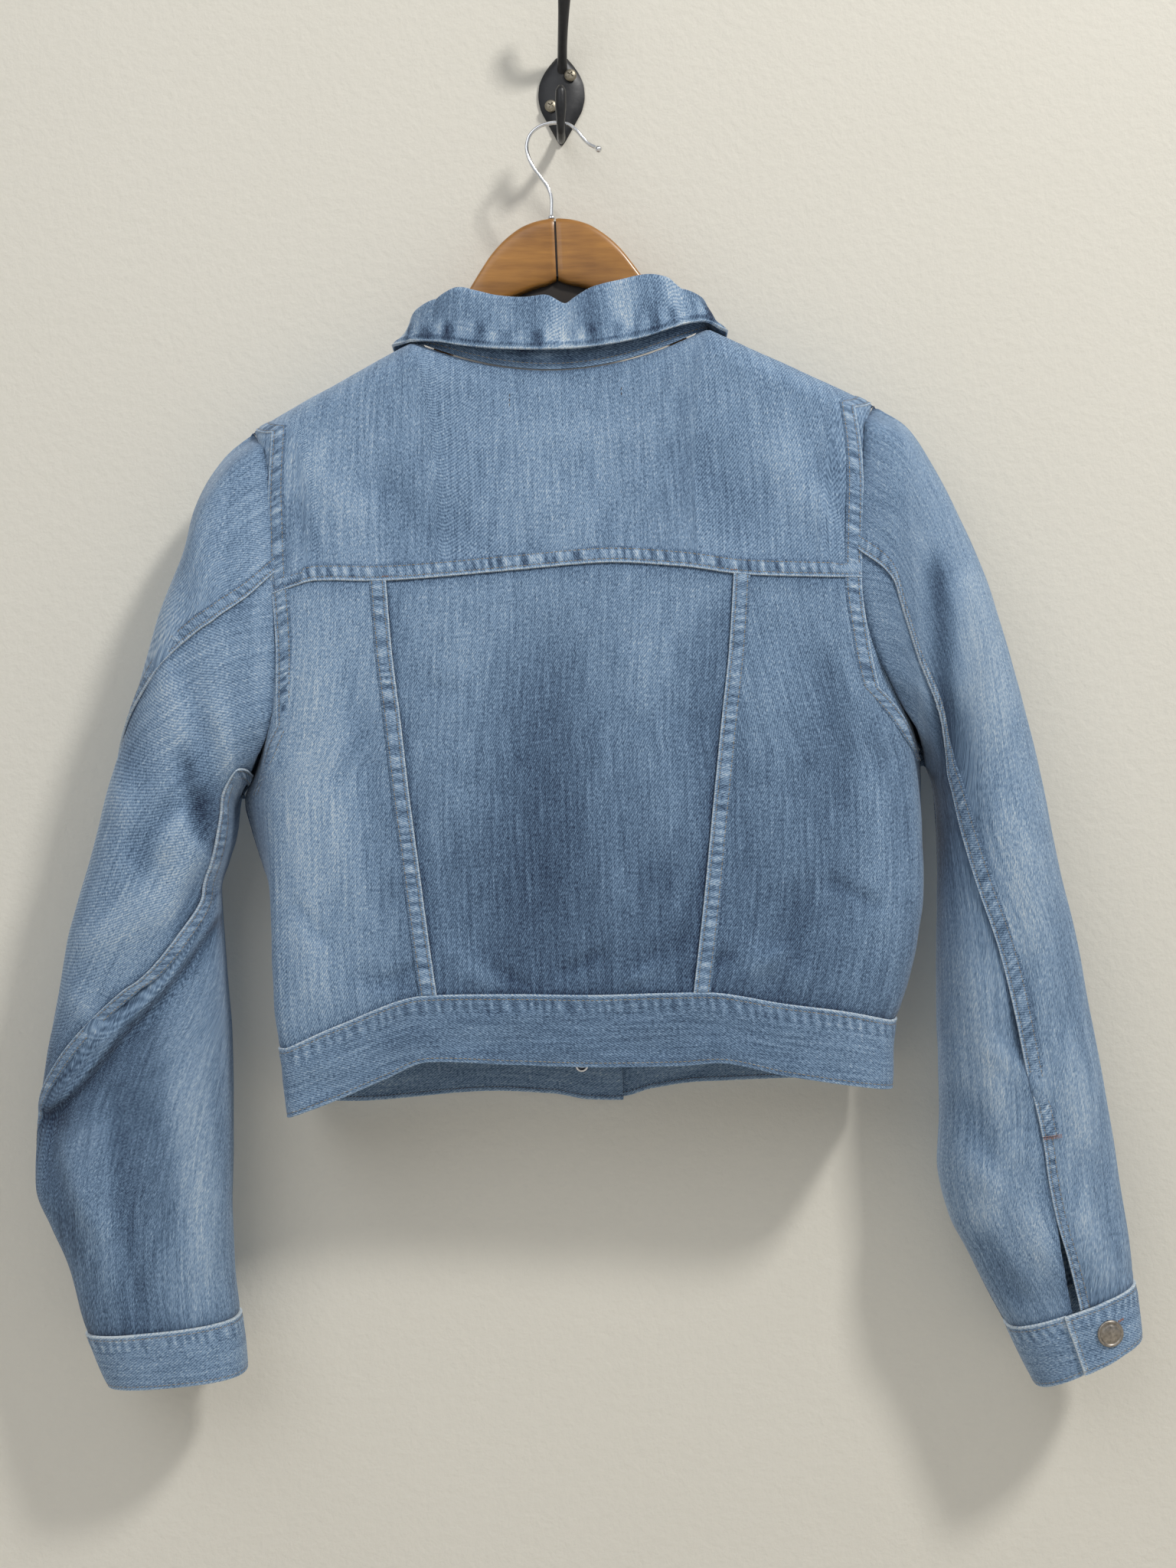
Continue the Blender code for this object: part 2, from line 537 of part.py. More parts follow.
def make_body():
    half = GAP / 2
    seams = (half, half, half, half)
    body_panel("back_yoke", "yoke", [0, 0.006, 0.03, 0.08, 0.17, 0.36, 0.66, 1], YOKE,
               (0, 0, half, half))
    low_rows = np.linspace(0, 1, 13)
    body_panel("back_side_left", "back", low_rows, BACK_LEFT, seams)
    body_panel("back_centre", "back", low_rows, BACK_CENTRE, seams)
    body_panel("back_side_right", "back", low_rows, BACK_RIGHT, seams)
    front_rows = [0, 0.002, 0.01, 0.028, 0.06, 0.14, 0.25, 0.31, 0.37, 0.46, 0.54, 0.6, 0.68, 0.84, 1]
    body_panel("front_left", "front", front_rows, FRONT_LEFT, seams)
    body_panel("front_right", "front", front_rows, FRONT_RIGHT, seams)


def strip_surface(side, y_shift):
    """One closing strip on the front: a runs across (-1..1), v from the neckline to the waistband."""
    def surface(a, v):
        x = a * (OVERLAP - 0.3)
        z = lerp(top_front(np.abs(x)), WAIST_HIGH - along(HEM_FRONT, "x", "drop", x), v)
        y = front_depth(side * OVERLAP + 0 * x, z, side) + y_shift
        return np.stack((x, y, z), axis=-1)
    return surface


def make_strips():
    v = np.array([0, 0.05, 0.15, 0.3, 0.45, 0.6, 0.75, 0.88, 1.0])
    for name, side, shift in (("placket_left", -1, 0.0), ("placket_right", 1, 0.0)):
        a = np.repeat(np.linspace(-1, 1, 4)[None, :], len(v), axis=0)
        panel(name, strip_surface(side, shift), a, rows_of(v, 4), 0.02, 0.002, 1.2, 1,
              (0, 0, GAP, GAP))


def band_surface(turn, v):
    """The whole waistband strip: turn 0..1 right front, 1..3 back, 3..4 left front."""
    turn, v = np.broadcast_arrays(np.asarray(turn, float), np.asarray(v, float))
    out = np.zeros(turn.shape + (3,))
    a = turn < 1
    b = (turn >= 1) & (turn <= 3)
    c = turn > 3
    end = (OVERLAP - 0.6) / (HEM_END - 250)
    if a.any():
        out[a] = body("band_front", np.abs(lerp(0.0, 1.0, turn[a])) + 1e-6, v[a])
    if b.any():
        out[b] = body("band_back", 2 - turn[b], v[b])
    if c.any():
        out[c] = body("band_front", -(4 - turn[c]) - 1e-6, v[c])
    return out


def lap_surface(turn, v):
    """The waistband strip with both front ends carried past the middle."""
    turn, v = np.broadcast_arrays(np.asarray(turn, float), np.asarray(v, float))
    reach = 0.105
    p = band_surface(np.clip(turn, 0.0, 4.0), v)
    for pick, side in ((turn < 0, 1), (turn > 4, -1)):
        if pick.any():
            past = np.where(turn < 0, -turn, turn - 4)[pick]
            x = -side * past * 195.0
            z = lerp(WAIST_HIGH - along(HEM_FRONT, "x", "drop", x), -along(HEM_FRONT, "x", "drop", x),
                     v[pick])
            if side < 0:
                z = z - 2.0 * np.clip(x / 20.0, 0, 1)
            y = along(FRONT_DEPTH, "drop", "y", -z) + side * 1.5
            p[pick] = np.stack((x, y, z), axis=-1)
    return p


def make_waistband():
    inner, third = OVERLAP - GAP, (OVERLAP - GAP) / 3
    one = np.array([1.0])
    near = [float(share_of("band_front", 1, np.array([q]), 0 * one)[0]) for q in (third, inner)]
    marks = [-inner / 195.0, -third / 195.0] + near
    marks += list(body_columns("front", one, FRONT_RIGHT)[0])
    for knots in (BACK_RIGHT, BACK_CENTRE, BACK_LEFT):
        columns = [2 - q for q in body_columns("back", one, knots)[0][::-1]]
        marks += columns if knots is BACK_RIGHT else columns[1:]
    marks += [4 + q for q in body_columns("front", one, FRONT_LEFT)[0]][1:]
    marks += [4 - near[1], 4 - near[0], 4 + third / 195.0, 4 + inner / 195.0]
    v = np.array([0.0, 0.5, 1.0])
    turn = np.repeat(np.array(marks)[None, :], 3, axis=0)
    vv = rows_of(v, len(marks))
    pts = lap_surface(turn, vv)
    n = normals_of(lap_surface, turn, vv, 0.004, 0.02, 0.0, 1.0)
    side_shift = np.zeros(pts.shape)
    side_shift[..., 1] = np.where((turn < 0.2), 0.5, np.where(turn > 3.8, -0.5, 0.0))
    outer = trimmed(pts + n * 0.4 + side_shift, 0, 0, GAP, 0)
    inner = trimmed(pts - n * (BAND - 0.4) + side_shift, 0, 0, GAP, 0)
    skin("waistband", outer, inner)


def make_collar():
    half = [0.05, 0.1, 0.155, 0.21, 0.265, 0.32, 0.37, 0.41, 0.445, 0.475, 0.5, 0.525, 0.55, 0.58,
            0.62, 0.67, 0.73, 0.8, 0.87, 0.93, 0.985]
    turn = np.array([-t for t in reversed(half)] + [0.0] + half)
    tt = np.repeat(turn[None, :], 3, axis=0)
    vv = rows_of([0, 0.5, 1.0], len(turn))
    panel("collar_stand", lambda a, b: stand(a, b), tt, vv, 0.004, 0.05, BAND - 0.4, 1, (0, 0, 0, 0))
    ww = np.array([0, 0.3, 0.34, 0.375, 0.41, 0.45, 0.7, 1.0])
    tt = np.repeat(turn[None, :], len(ww), axis=0)
    pts = fall(tt, rows_of(ww, len(turn)))
    n = normals_of(fall, tt, rows_of(ww, len(turn)), 0.004, 0.012, 0.0, 1.0)
    skin("collar_fall", pts, pts - n * 1.6)


def slit(step):
    """Degrees by which the sleeve opening above the cuff stands apart."""
    return glide([0, 13, 14, 15, 16], [0, 0, 9, 11, 13], step)


def sleeve_panel(name, side, start, stop, cols, steps):
    """A sleeve panel between two seams given as functions of the ring."""
    step = np.asarray(steps, float)
    share = np.linspace(0, 1, cols + 1)
    a = lerp(start(step)[:, None], stop(step)[:, None], share[None, :])
    k = rows_of(step, cols + 1)
    last = len(SLEEVE[side]["y"]) - 1.0
    surface = lambda u, v: sleeve(side, u, v)
    half = GAP / 2
    return panel(name, surface, a, k, 0.8, 0.02, CLOTH, side, (0.5, 0.5, 0, half),
                 span=(0.0, last))


def make_sleeves():
    for side, tag in ((-1, "left"), (1, "right")):
        steps = [0, 0.5, 1, 1.5, 2, 2.5, 3, 4, 5, 6, 7, 8, 9, 10, 11, 12, 13, 14, 15, 16]
        back = lambda k, s=side: seam_angle(s, "seam_back", k)
        under = lambda k, s=side: seam_angle(s, "seam_under", k)
        sleeve_panel("sleeve_top_" + tag, side, lambda k: under(k) - 360.0, back, 14, steps)
        sleeve_panel("sleeve_under_" + tag, side, lambda k: back(k) + slit(k), under, 7, steps)
        meet = CUFF_MEET[side]
        a = np.repeat((meet + np.linspace(0.9, 359.1, 23))[None, :], 3, axis=0)
        k = rows_of([0, 1, 2], 23)
        surface = lambda u, v, s=side: ring_point(CUFF[s], v, u)
        panel("cuff_" + tag, surface, a, k, 0.8, 0.02, BAND, side, (0, 0, GAP, 0), lift=0.3,
              span=(0.0, 2.0))


# ------------------------------------------------------------------ turned and swept pieces
def lathe(name, profile, centre, axis, colour, sides=16, rough=0.4, metal=0.0):
    """A turned solid: profile of (radius, distance) closed on the axis, in the jacket frame."""
    axis = np.asarray(axis, float) / np.linalg.norm(axis)
    ref = np.array([0.0, 0.0, 1.0]) if abs(axis[2]) < 0.9 else np.array([1.0, 0.0, 0.0])
    e1 = np.cross(axis, ref)
    e1 /= np.linalg.norm(e1)
    e2 = np.cross(axis, e1)
    verts, faces, rings = [], [], []
    for radius, dist in profile:
        base = np.asarray(centre, float) + axis * dist
        if radius < 1e-6:
            rings.append([len(verts)])
            verts.append(base)
        else:
            rings.append(list(range(len(verts), len(verts) + sides)))
            for i in range(sides):
                t = 2 * math.pi * i / sides
                verts.append(base + radius * (e1 * math.cos(t) + e2 * math.sin(t)))
    for a, b in zip(rings, rings[1:]):
        for i in range(sides):
            j = (i + 1) % sides
            if len(a) == 1:
                faces.append((a[0], b[i], b[j]))
            elif len(b) == 1:
                faces.append((a[i], b[0], a[j]))
            else:
                faces.append((a[i], b[i], b[j], a[j]))
    return verts, faces


def tube(path, radii, sides=10):
    """A closed tube along a path with a radius pair (across, deep) at each point; ends capped."""
    path = np.asarray(path, float)
    tangent = np.gradient(path, axis=0)
    tangent /= np.linalg.norm(tangent, axis=1, keepdims=True)
    verts, faces = [], []
    for p, t, r in zip(path, tangent, radii):
        deep = np.array([0.0, 1.0, 0.0])
        deep = deep - t * deep.dot(t)
        deep /= np.linalg.norm(deep)
        wide = np.cross(t, deep)
        for i in range(sides):
            a = 2 * math.pi * i / sides
            verts.append(p + wide * r[0] * math.cos(a) + deep * r[1] * math.sin(a))
    n = len(path)
    for k in range(n - 1):
        for i in range(sides):
            j = (i + 1) % sides
            faces.append((k * sides + i, k * sides + j, (k + 1) * sides + j, (k + 1) * sides + i))
    faces.append(tuple(range(sides)))
    faces.append(tuple((n - 1) * sides + i for i in reversed(range(sides))))
    return verts, faces


BUTTON = [(0, 0), (4.0, 0), (4.4, 0.9), (8.3, 1.0), (8.6, 1.7), (8.0, 2.5), (6.0, 2.9), (0, 3.0)]
TACK = [(0, 0), (4.0, 0), (4.2, 0.5), (3.4, 1.1), (0, 1.2)]
FRONT_BUTTONS = (-72, -152, -232, -312, -390)   # heights on the closing strip
STRIP_LONG = 382.0                # the closing strip, from the neckline to the waistband
WAIST_BUTTON = (-6.6, -452.0)     # x and z of the button on the waistband
WAIST_FACE, WAIST_INSIDE = -11.0, -18.6   # depths of the waistband's two faces at that button


def turned(name, profile, centre, axis, colour, sides=16, rough=0.4, metal=0.9, local=True):
    verts, faces = lathe(name, profile, centre, axis, colour, sides)
    verts = place(verts) if local else np.asarray(verts) * MM
    return solid(name, verts, faces, colour, rough, metal)


def make_buttons():
    for k, z in enumerate(FRONT_BUTTONS):
        share = np.array([(FRONT_NECK_Z - z) / STRIP_LONG])
        face = float(strip_surface(1, 0.0)(np.array([0.0]), share)[0][1])
        turned("front_button_%d" % (k + 1), BUTTON, (0.0, face + GAP, z), (0, 1, 0), PEWTER_COLOUR)
    x, z = WAIST_BUTTON
    turned("waist_button", BUTTON, (x, WAIST_FACE, z), (0, 1, 0), PEWTER_COLOUR)
    turned("waist_tack", TACK, (x, WAIST_INSIDE, z), (0, -1, 0), CHROME_COLOUR)
    for side, tag, angle in ((1, "right", 76.0), (-1, "left", 236.0)):
        p = ring_point(CUFF[side], np.array(1.0), np.array(angle))
        surface = lambda u, v, s=side: ring_point(CUFF[s], v, u)
        n = normals_of(surface, np.array(angle), np.array(1.0), 0.8, 0.02, 0.0, 2.0) * side
        turned("cuff_button_" + tag, BUTTON, p + n * (0.5 + GAP), n, PEWTER_COLOUR)


# ------------------------------------------------------------------ hanger and wall hook
HANGER = table("x top high deep", (0.7, 104.6, 41, 6.0), (9, 103.6, 43, 6.2), (20, 100.4, 43, 6.4),
               (31.5, 93.2, 40, 6.6), (42, 83, 34, 6.8), (50, 72, 28, 7.0), (57, 61.5, 24, 7.0),
               (71, 40, 22, 6.0), (82, 23.5, 20, 4.9), (91, 15.4, 17, 4.6), (104, 18.4, 19, 5.6),
               (125, 9.6, 17, 6.0), (160, -8.1, 15, 5.8), (184, -20.4, 13, 5.4), (192, -25.6, 9, 4.0))

WIRE_Y = -34.0                    # depth of the hanger's wire
WIRE = ((-6.1, -86.0), (-6.0, -76.5), (-7.9, -68.9), (-13.0, -61.4), (-17.7, -55.0), (-21.2, -47.9),
        (-22.5, -41.5), (-21.2, -35.3), (-17.2, -30.0), (-11.0, -26.6), (-3.4, -25.3), (3.8, -26.2),
        (9.7, -29.8), (14.3, -35.1), (18.3, -39.2), (22.6, -41.5))


def make_hanger():
    for side, tag in ((-1, "left"), (1, "right")):
        verts, faces = [], []
        sides = 12
        for x, top, high, deep in zip(*(HANGER[n] for n in ("x", "top", "high", "deep"))):
            for i in range(sides):
                a = 2 * math.pi * (i + 0.5) / sides
                sx = np.sign(math.sin(a)) * abs(math.sin(a)) ** 0.6
                cy = np.sign(math.cos(a)) * abs(math.cos(a)) ** 0.6
                verts.append((side * x, RIDGE_Y + deep * cy, top - high / 2 + high / 2 * sx))
        n = len(HANGER["x"])
        for k in range(n - 1):
            for i in range(sides):
                j = (i + 1) % sides
                faces.append((k * sides + i, k * sides + j, (k + 1) * sides + j, (k + 1) * sides + i))
        faces.append(tuple(range(sides)))
        faces.append(tuple((n - 1) * sides + i for i in reversed(range(sides))))
        solid("hanger_" + tag, place(verts), faces, WOOD_COLOUR, 0.4)
    path = np.array([(x, WIRE_Y, z) for x, z in WIRE])
    verts, faces = tube(path, [(1.25, 1.25)] * 15 + [(1.1, 1.1)], 10)
    solid("hanger_wire", np.asarray(verts) * MM, faces, CHROME_COLOUR, 0.15, 1.0)
    turned("wire_tip", [(0, 0), (1.6, 0.3), (2.2, 1.6), (2.2, 2.6), (1.5, 3.9), (0, 4.2)],
           (22.9, WIRE_Y, -41.7), (0.87, 0, -0.45), CHROME_COLOUR, 12, 0.15, 1.0, False)
    turned("wire_collar", [(0, 0), (2.6, 0), (2.6, 1.4), (1.9, 2.2), (0, 2.2)],
           (-6.2, WIRE_Y, -88.6), (0, 0, 1), CHROME_COLOUR, 12, 0.2, 1.0, False)


PLATE = table("z half thick", (-29.5, 0.8, 2.0), (-27, 2.6, 3.2), (-22, 5.4, 4.0), (-14, 9.8, 4.4),
              (-5, 14.2, 4.6), (3, 15.6, 4.6), (10, 15.0, 4.6), (17, 12.4, 4.4), (23, 8.6, 4.2),
              (28.5, 4.0, 3.6))


def make_wall_hook():
    verts, faces = [], []
    cols = 9
    n = len(PLATE["z"])
    for z, half, thick in zip(PLATE["z"], PLATE["half"], PLATE["thick"]):
        for i in range(cols):
            t = -1 + 2 * i / (cols - 1)
            verts.append((t * half, -(0.9 + (thick - 0.9) * (1 - abs(t) ** 2.2)), z))
        for i in range(cols):
            t = -1 + 2 * i / (cols - 1)
            verts.append((t * half, 0.0, z))
    row = cols * 2
    for k in range(n - 1):
        for i in range(cols - 1):
            a = k * row + i
            faces.append((a, a + 1, a + row + 1, a + row))
            b = a + cols
            faces.append((b, b + row, b + row + 1, b + 1))
        for a, b in ((0, cols), (cols - 1, 2 * cols - 1)):
            q = (k * row + a, (k + 1) * row + a, (k + 1) * row + b, k * row + b)
            faces.append(q if a == 0 else tuple(reversed(q)))
    for k in (0, n - 1):
        for i in range(cols - 1):
            a = k * row + i
            q = (a, a + cols, a + cols + 1, a + 1)
            faces.append(q if k == 0 else tuple(reversed(q)))
    plate = solid("wall_hook", np.asarray(verts) * MM, faces, IRON_COLOUR, 0.45, 0.3)
    lower = [(0.0, -2.6, -20.0), (0.0, -11.0, -27.6), (0.0, -20.0, -31.0), (0.0, -29.0, -31.8),
             (0.0, -35.2, -30.9), (0.0, -40.2, -25.8), (0.0, -42.8, -16.0), (0.0, -43.5, -8.0),
             (0.0, -42.8, -4.2)]
    shape = [(2.6, 2.2), (2.8, 3.6), (2.7, 3.8), (2.6, 3.6), (2.6, 3.4), (2.8, 3.4), (3.6, 3.7),
             (3.4, 3.4), (1.6, 1.6)]
    join(plate, arm("hook_lower", lower, shape))
    upper = [(0.5, -2.8, 18.5), (0.7, -13.0, 30.5), (1.1, -22.0, 38.0), (1.7, -31.0, 46.0),
             (2.3, -38.5, 55.0), (2.8, -43.5, 65.0), (3.1, -45.6, 74.0), (3.2, -46.0, 79.0)]
    shape = [(3.3, 2.4), (3.2, 4.0), (3.3, 4.2), (3.6, 4.0), (4.2, 4.2), (4.8, 4.8), (4.6, 4.6),
             (2.2, 2.2)]
    join(plate, arm("hook_upper", upper, shape))
    for k, (x, z) in enumerate(((6.0, 16.0), (-7.0, -4.6))):
        half = float(glide(PLATE["z"], PLATE["half"], z))
        thick = float(glide(PLATE["z"], PLATE["thick"], z))
        face = -(0.9 + (thick - 0.9) * (1 - abs(x / half) ** 2.2)) - 1.3
        turned("screw_%d" % (k + 1), [(0, 0), (3.9, 0), (4.1, 0.5), (3.2, 1.5), (0, 2.1)],
               (x, face, z), (0, -1, 0), BRASS_COLOUR, 14, 0.35, 0.9, False)


def join(target, piece):
    """One casting: the piece is united with the target and then dropped."""
    mod = target.modifiers.new("union", "BOOLEAN")
    mod.operation, mod.solver, mod.object = "UNION", "EXACT", piece
    graph = bpy.context.evaluated_depsgraph_get()
    merged = bpy.data.meshes.new_from_object(target.evaluated_get(graph))
    target.modifiers.clear()
    target.data = merged
    bpy.data.objects.remove(piece, do_unlink=True)


def arm(name, path, shape):
    """A cast arm that stands out of the plate: swept through its rings, across by deep."""
    path = np.asarray(path, float)
    tangent = np.gradient(path, axis=0)
    tangent /= np.linalg.norm(tangent, axis=1, keepdims=True)
    verts, faces = [], []
    sides = 10
    for p, t, (across, deep) in zip(path, tangent, shape):
        wide = np.array([1.0, 0.0, 0.0])
        up = np.cross(t, wide)
        up /= np.linalg.norm(up)
        for i in range(sides):
            a = 2 * math.pi * i / sides
            verts.append(p + wide * across * math.cos(a) + up * deep * math.sin(a))
    n = len(path)
    for k in range(n - 1):
        for i in range(sides):
            j = (i + 1) % sides
            faces.append((k * sides + i, k * sides + j, (k + 1) * sides + j, (k + 1) * sides + i))
    faces.append(tuple(range(sides)))
    faces.append(tuple((n - 1) * sides + i for i in reversed(range(sides))))
    return solid(name, np.asarray(verts) * MM, faces, IRON_COLOUR, 0.45, 0.3)


def main():
    for obj in list(bpy.data.objects):
        bpy.data.objects.remove(obj, do_unlink=True)
    make_body()
    make_strips()
    make_waistband()
    make_collar()
    make_sleeves()
    make_buttons()
    make_hanger()
    make_wall_hook()


main()
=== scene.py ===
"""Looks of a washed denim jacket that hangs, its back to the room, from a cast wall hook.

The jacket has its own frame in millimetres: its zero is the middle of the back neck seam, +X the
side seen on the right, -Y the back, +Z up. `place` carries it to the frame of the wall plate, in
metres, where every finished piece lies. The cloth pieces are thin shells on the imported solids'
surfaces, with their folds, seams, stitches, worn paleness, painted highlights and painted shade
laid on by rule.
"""
import logging
import math
from dataclasses import dataclass, field
from enum import Enum
from typing import Callable, Sequence

import bmesh
import bpy
import numpy as np
from mathutils import Matrix, Vector


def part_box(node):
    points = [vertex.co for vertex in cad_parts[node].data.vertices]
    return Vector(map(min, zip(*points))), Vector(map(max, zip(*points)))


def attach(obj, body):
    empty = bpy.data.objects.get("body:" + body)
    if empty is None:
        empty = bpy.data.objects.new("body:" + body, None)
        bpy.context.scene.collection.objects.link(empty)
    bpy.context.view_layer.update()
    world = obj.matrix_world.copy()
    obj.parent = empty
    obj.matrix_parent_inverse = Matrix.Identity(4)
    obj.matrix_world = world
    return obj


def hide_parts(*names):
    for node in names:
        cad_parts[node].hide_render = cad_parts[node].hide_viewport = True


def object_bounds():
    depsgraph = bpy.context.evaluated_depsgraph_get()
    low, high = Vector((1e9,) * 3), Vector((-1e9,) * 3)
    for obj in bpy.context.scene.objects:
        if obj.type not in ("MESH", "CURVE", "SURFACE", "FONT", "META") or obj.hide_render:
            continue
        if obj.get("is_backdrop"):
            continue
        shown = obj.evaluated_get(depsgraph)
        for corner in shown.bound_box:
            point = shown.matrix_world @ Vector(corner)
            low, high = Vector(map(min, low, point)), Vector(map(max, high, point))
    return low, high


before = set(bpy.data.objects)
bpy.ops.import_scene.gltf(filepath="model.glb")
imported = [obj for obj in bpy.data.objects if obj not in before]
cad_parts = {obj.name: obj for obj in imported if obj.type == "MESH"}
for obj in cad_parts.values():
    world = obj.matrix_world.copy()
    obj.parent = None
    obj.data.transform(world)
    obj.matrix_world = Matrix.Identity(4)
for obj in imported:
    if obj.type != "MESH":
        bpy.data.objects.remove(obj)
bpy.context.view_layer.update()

LOG = logging.getLogger("jacket")
MM = 0.001
BODY = "root"
Array = np.ndarray
Pair = tuple[Array, Array]
Table = dict[str, Array]
Surface = Callable[[Array, Array], Array]
BMesh = bmesh.types.BMesh
Material = bpy.types.Material
Thing = bpy.types.Object


# ------------------------------------------------------------------ numbers
def table(names: str, *rows: tuple) -> Table:
    """Named columns of a short table.

    Args:
        names: the columns' names with spaces between them.
        rows: one tuple of numbers for each row.
    Returns:
        Each name with its column.
    """
    return dict(zip(names.split(), np.array(rows, float).T))


def glide(knots: Sequence[float], values: Sequence[float], at: Array) -> Array:
    """Smooth curve through the knots that never overshoots; held flat past both ends.

    Args:
        knots: rising places of the known values.
        values: the value at each knot.
        at: where the curve is read.
    Returns:
        The curve's values.
    """
    k, v = np.asarray(knots, float), np.asarray(values, float)
    h = np.diff(k)
    s = np.diff(v) / h
    m = np.concatenate(([s[0]], np.zeros(len(v) - 2), [s[-1]]))
    for i in range(1, len(v) - 1):
        if s[i - 1] * s[i] > 0:
            a, b = 2 * h[i] + h[i - 1], h[i] + 2 * h[i - 1]
            m[i] = (a + b) / (a / s[i - 1] + b / s[i])
    t = np.clip(np.asarray(at, float), k[0], k[-1])
    i = np.clip(np.searchsorted(k, t, side="right") - 1, 0, len(h) - 1)
    x = (t - k[i]) / h[i]
    return ((1 + 2 * x) * (1 - x) ** 2 * v[i] + x * (1 - x) ** 2 * h[i] * m[i]
            + x * x * (3 - 2 * x) * v[i + 1] + x * x * (x - 1) * h[i] * m[i + 1])


def along(tab: Table, key: str, column: str, at: Array) -> Array:
    """A table's column read as a smooth curve over another column."""
    return glide(tab[key], tab[column], at)


def lerp(a: Array, b: Array, t: Array) -> Array:
    """The value a share t of the way from a to b."""
    return a + (b - a) * t


def held(value: Array) -> Array:
    """The value kept between 0 and 1."""
    return np.clip(value, 0, 1)


def rise(value: Array, start: float, end: float) -> Array:
    """0 before start, 1 after end, and a smooth step between them."""
    t = held((value - start) / (end - start))
    return t * t * (3 - 2 * t)


def bell(value: Array, middle: float, wide: float) -> Array:
    """A soft hump, 1 at the middle."""
    return np.exp(-((value - middle) / wide) ** 2)


def unit(v: Array) -> Array:
    """Vectors scaled to length 1."""
    return v / np.maximum(np.linalg.norm(v, axis=-1, keepdims=True), 1e-12)


def swell(points: Array, pitch: float, seed: int, stretch: tuple = (1, 1, 1)) -> Array:
    """Smooth uneven height, about -1 to 1, the same at each run.

    Args:
        points: places, with the coordinates in the last axis.
        pitch: the usual distance from one rise to the next.
        seed: picks the pattern.
        stretch: how much longer the pattern is along each coordinate.
    Returns:
        One height for each place.
    """
    rng = np.random.default_rng(seed)
    waves = 9
    dims = points.shape[-1]
    total = np.zeros(points.shape[:-1])
    for _ in range(waves):
        way = unit(rng.normal(size=dims)) / np.asarray(stretch[:dims])
        rate = 2 * math.pi / (pitch * rng.uniform(0.75, 1.5))
        total += np.sin(points @ way * rate + rng.uniform(0, 2 * math.pi))
    return total / math.sqrt(waves) / 1.4


# ------------------------------------------------------------------ the jacket's own sizes
LEAN = math.radians(2.5)
NECK_AT = (0.6, -193.0)
CLOTH, BAND = 1.4, 2.4
NECK_HALF, NECK_RISE = 97.0, 27.0
SHOULDER_HALF, SHOULDER_DROP = 202.5, 26.5
RIDGE_Y, RIDGE_ROUND = -34.0, 22.0
NECK_DEEP_BACK, NECK_DEEP_FRONT = 28.0, 18.0
FRONT_NECK_Z = -52.0
OVERLAP = 20.5
LAP, LAP_FADE = 1.5, 60.0               # how far the right front stands out, and over what width
WAIST_HIGH = 44.0
SEAM_WIDE = 10.6
SEAM_ROWS = (2.1, 8.9)                  # the two stitched rows of a felled seam, from its free edge
GAP = 0.3
COLLAR_CLOTH = 1.9
FALL_ROW = 3.4                          # the fall's stitched row, from its edge
SLEEVE_UNDER = 2.2                      # how far below the body's surface the sleeve starts
SLEEVE_TUCK = 5.0                       # how far in under the body's edge it starts
SLEEVE_RAISED = 16                      # the most its start is raised over the body's edge
TUCK_GROWS, TUCK_EASES = (26, 44), (225, 255)   # drops over which the tuck grows and eases
TWIST_BAND = 10.0                       # the strip along the upper side of the slanting fold
TWIST_DEEP, TWIST_FADE = 9.0, 42.0      # how deep the cloth turns in below it, and how far down
FLUTE_START, FLUTE_GROW = 250, 150      # drop where the back's soft tubes start, and their growth

EDGE = {
    -1: table(
        "drop x y_back y_front fold power",
        (26.5, 202.5, -35, -33, 201, 6), (40, 197.5, -49, -25, 196, 6), (62, 193.2, -62, -19, 192, 6),
        (103, 190.3, -74, -16, 189, 6), (138, 190.3, -78, -15.5, 189, 6), (170, 191, -78, -15.5, 190, 6),
        (207, 194, -75, -17, 192.5, 7), (236, 202, -66, -22, 193, 9), (253, 210, -57, -30, 193, 11),
        (266, 218, -44, -43, 193, 13), (282, 215, -44, -43, 193, 14), (310, 208, -44, -43, 194.5, 14),
        (340, 199, -44, -43, 197, 14), (392, 195.5, -44, -43, 198.5, 14), (422, 194, -44, -43, 196.5, 13),
        (466, 190.5, -44, -43, 193, 13), (480, 190, -44, -43, 192.5, 13)),
    1: table(
        "drop x y_back y_front fold power",
        (26.5, 202.5, -35, -33, 201, 6), (40, 197.5, -49, -25, 196, 6), (64, 193.8, -62, -19, 192.5, 6),
        (106, 188, -74, -16, 187, 6), (143, 185.8, -78, -15.5, 185, 6), (170, 189, -78, -15.5, 188, 6),
        (195, 196, -75, -17, 194, 6), (220, 206.5, -69, -20, 202, 6), (243, 217, -59, -28, 208, 6),
        (262, 222, -45, -43, 211, 6), (290, 221, -45, -43, 213, 6), (337, 219, -45, -43, 214, 6),
        (371, 213.5, -45, -43, 210, 6), (396, 207.5, -45, -43, 204, 6), (415, 200.5, -45, -43, 197.5, 6),
        (424, 196, -45, -43, 194, 6), (467, 191.5, -45, -43, 190, 6), (480, 191, -45, -43, 189.5, 6)),
}
YOKE_END = {-1: 138.0, 1: 143.6}
ARMPIT = {-1: 264.0, 1: 260.0}
WAIST_END, HEM_END = 423.0, 467.5
BACK_DEPTH = table(
    "drop y",
    (-30, -61), (0, -63.5), (30, -68), (60, -73), (103, -80), (138, -86), (170, -89), (220, -92),
    (300, -96), (360, -98), (395, -99), (445, -99))
FRONT_DEPTH = table("drop y", (-30, -17), (50, -15), (140, -13), (300, -13), (425, -14), (480, -14))
FLUTES = table("x wide deep", (-101, 34, 5.0), (76, 32, 4.0))
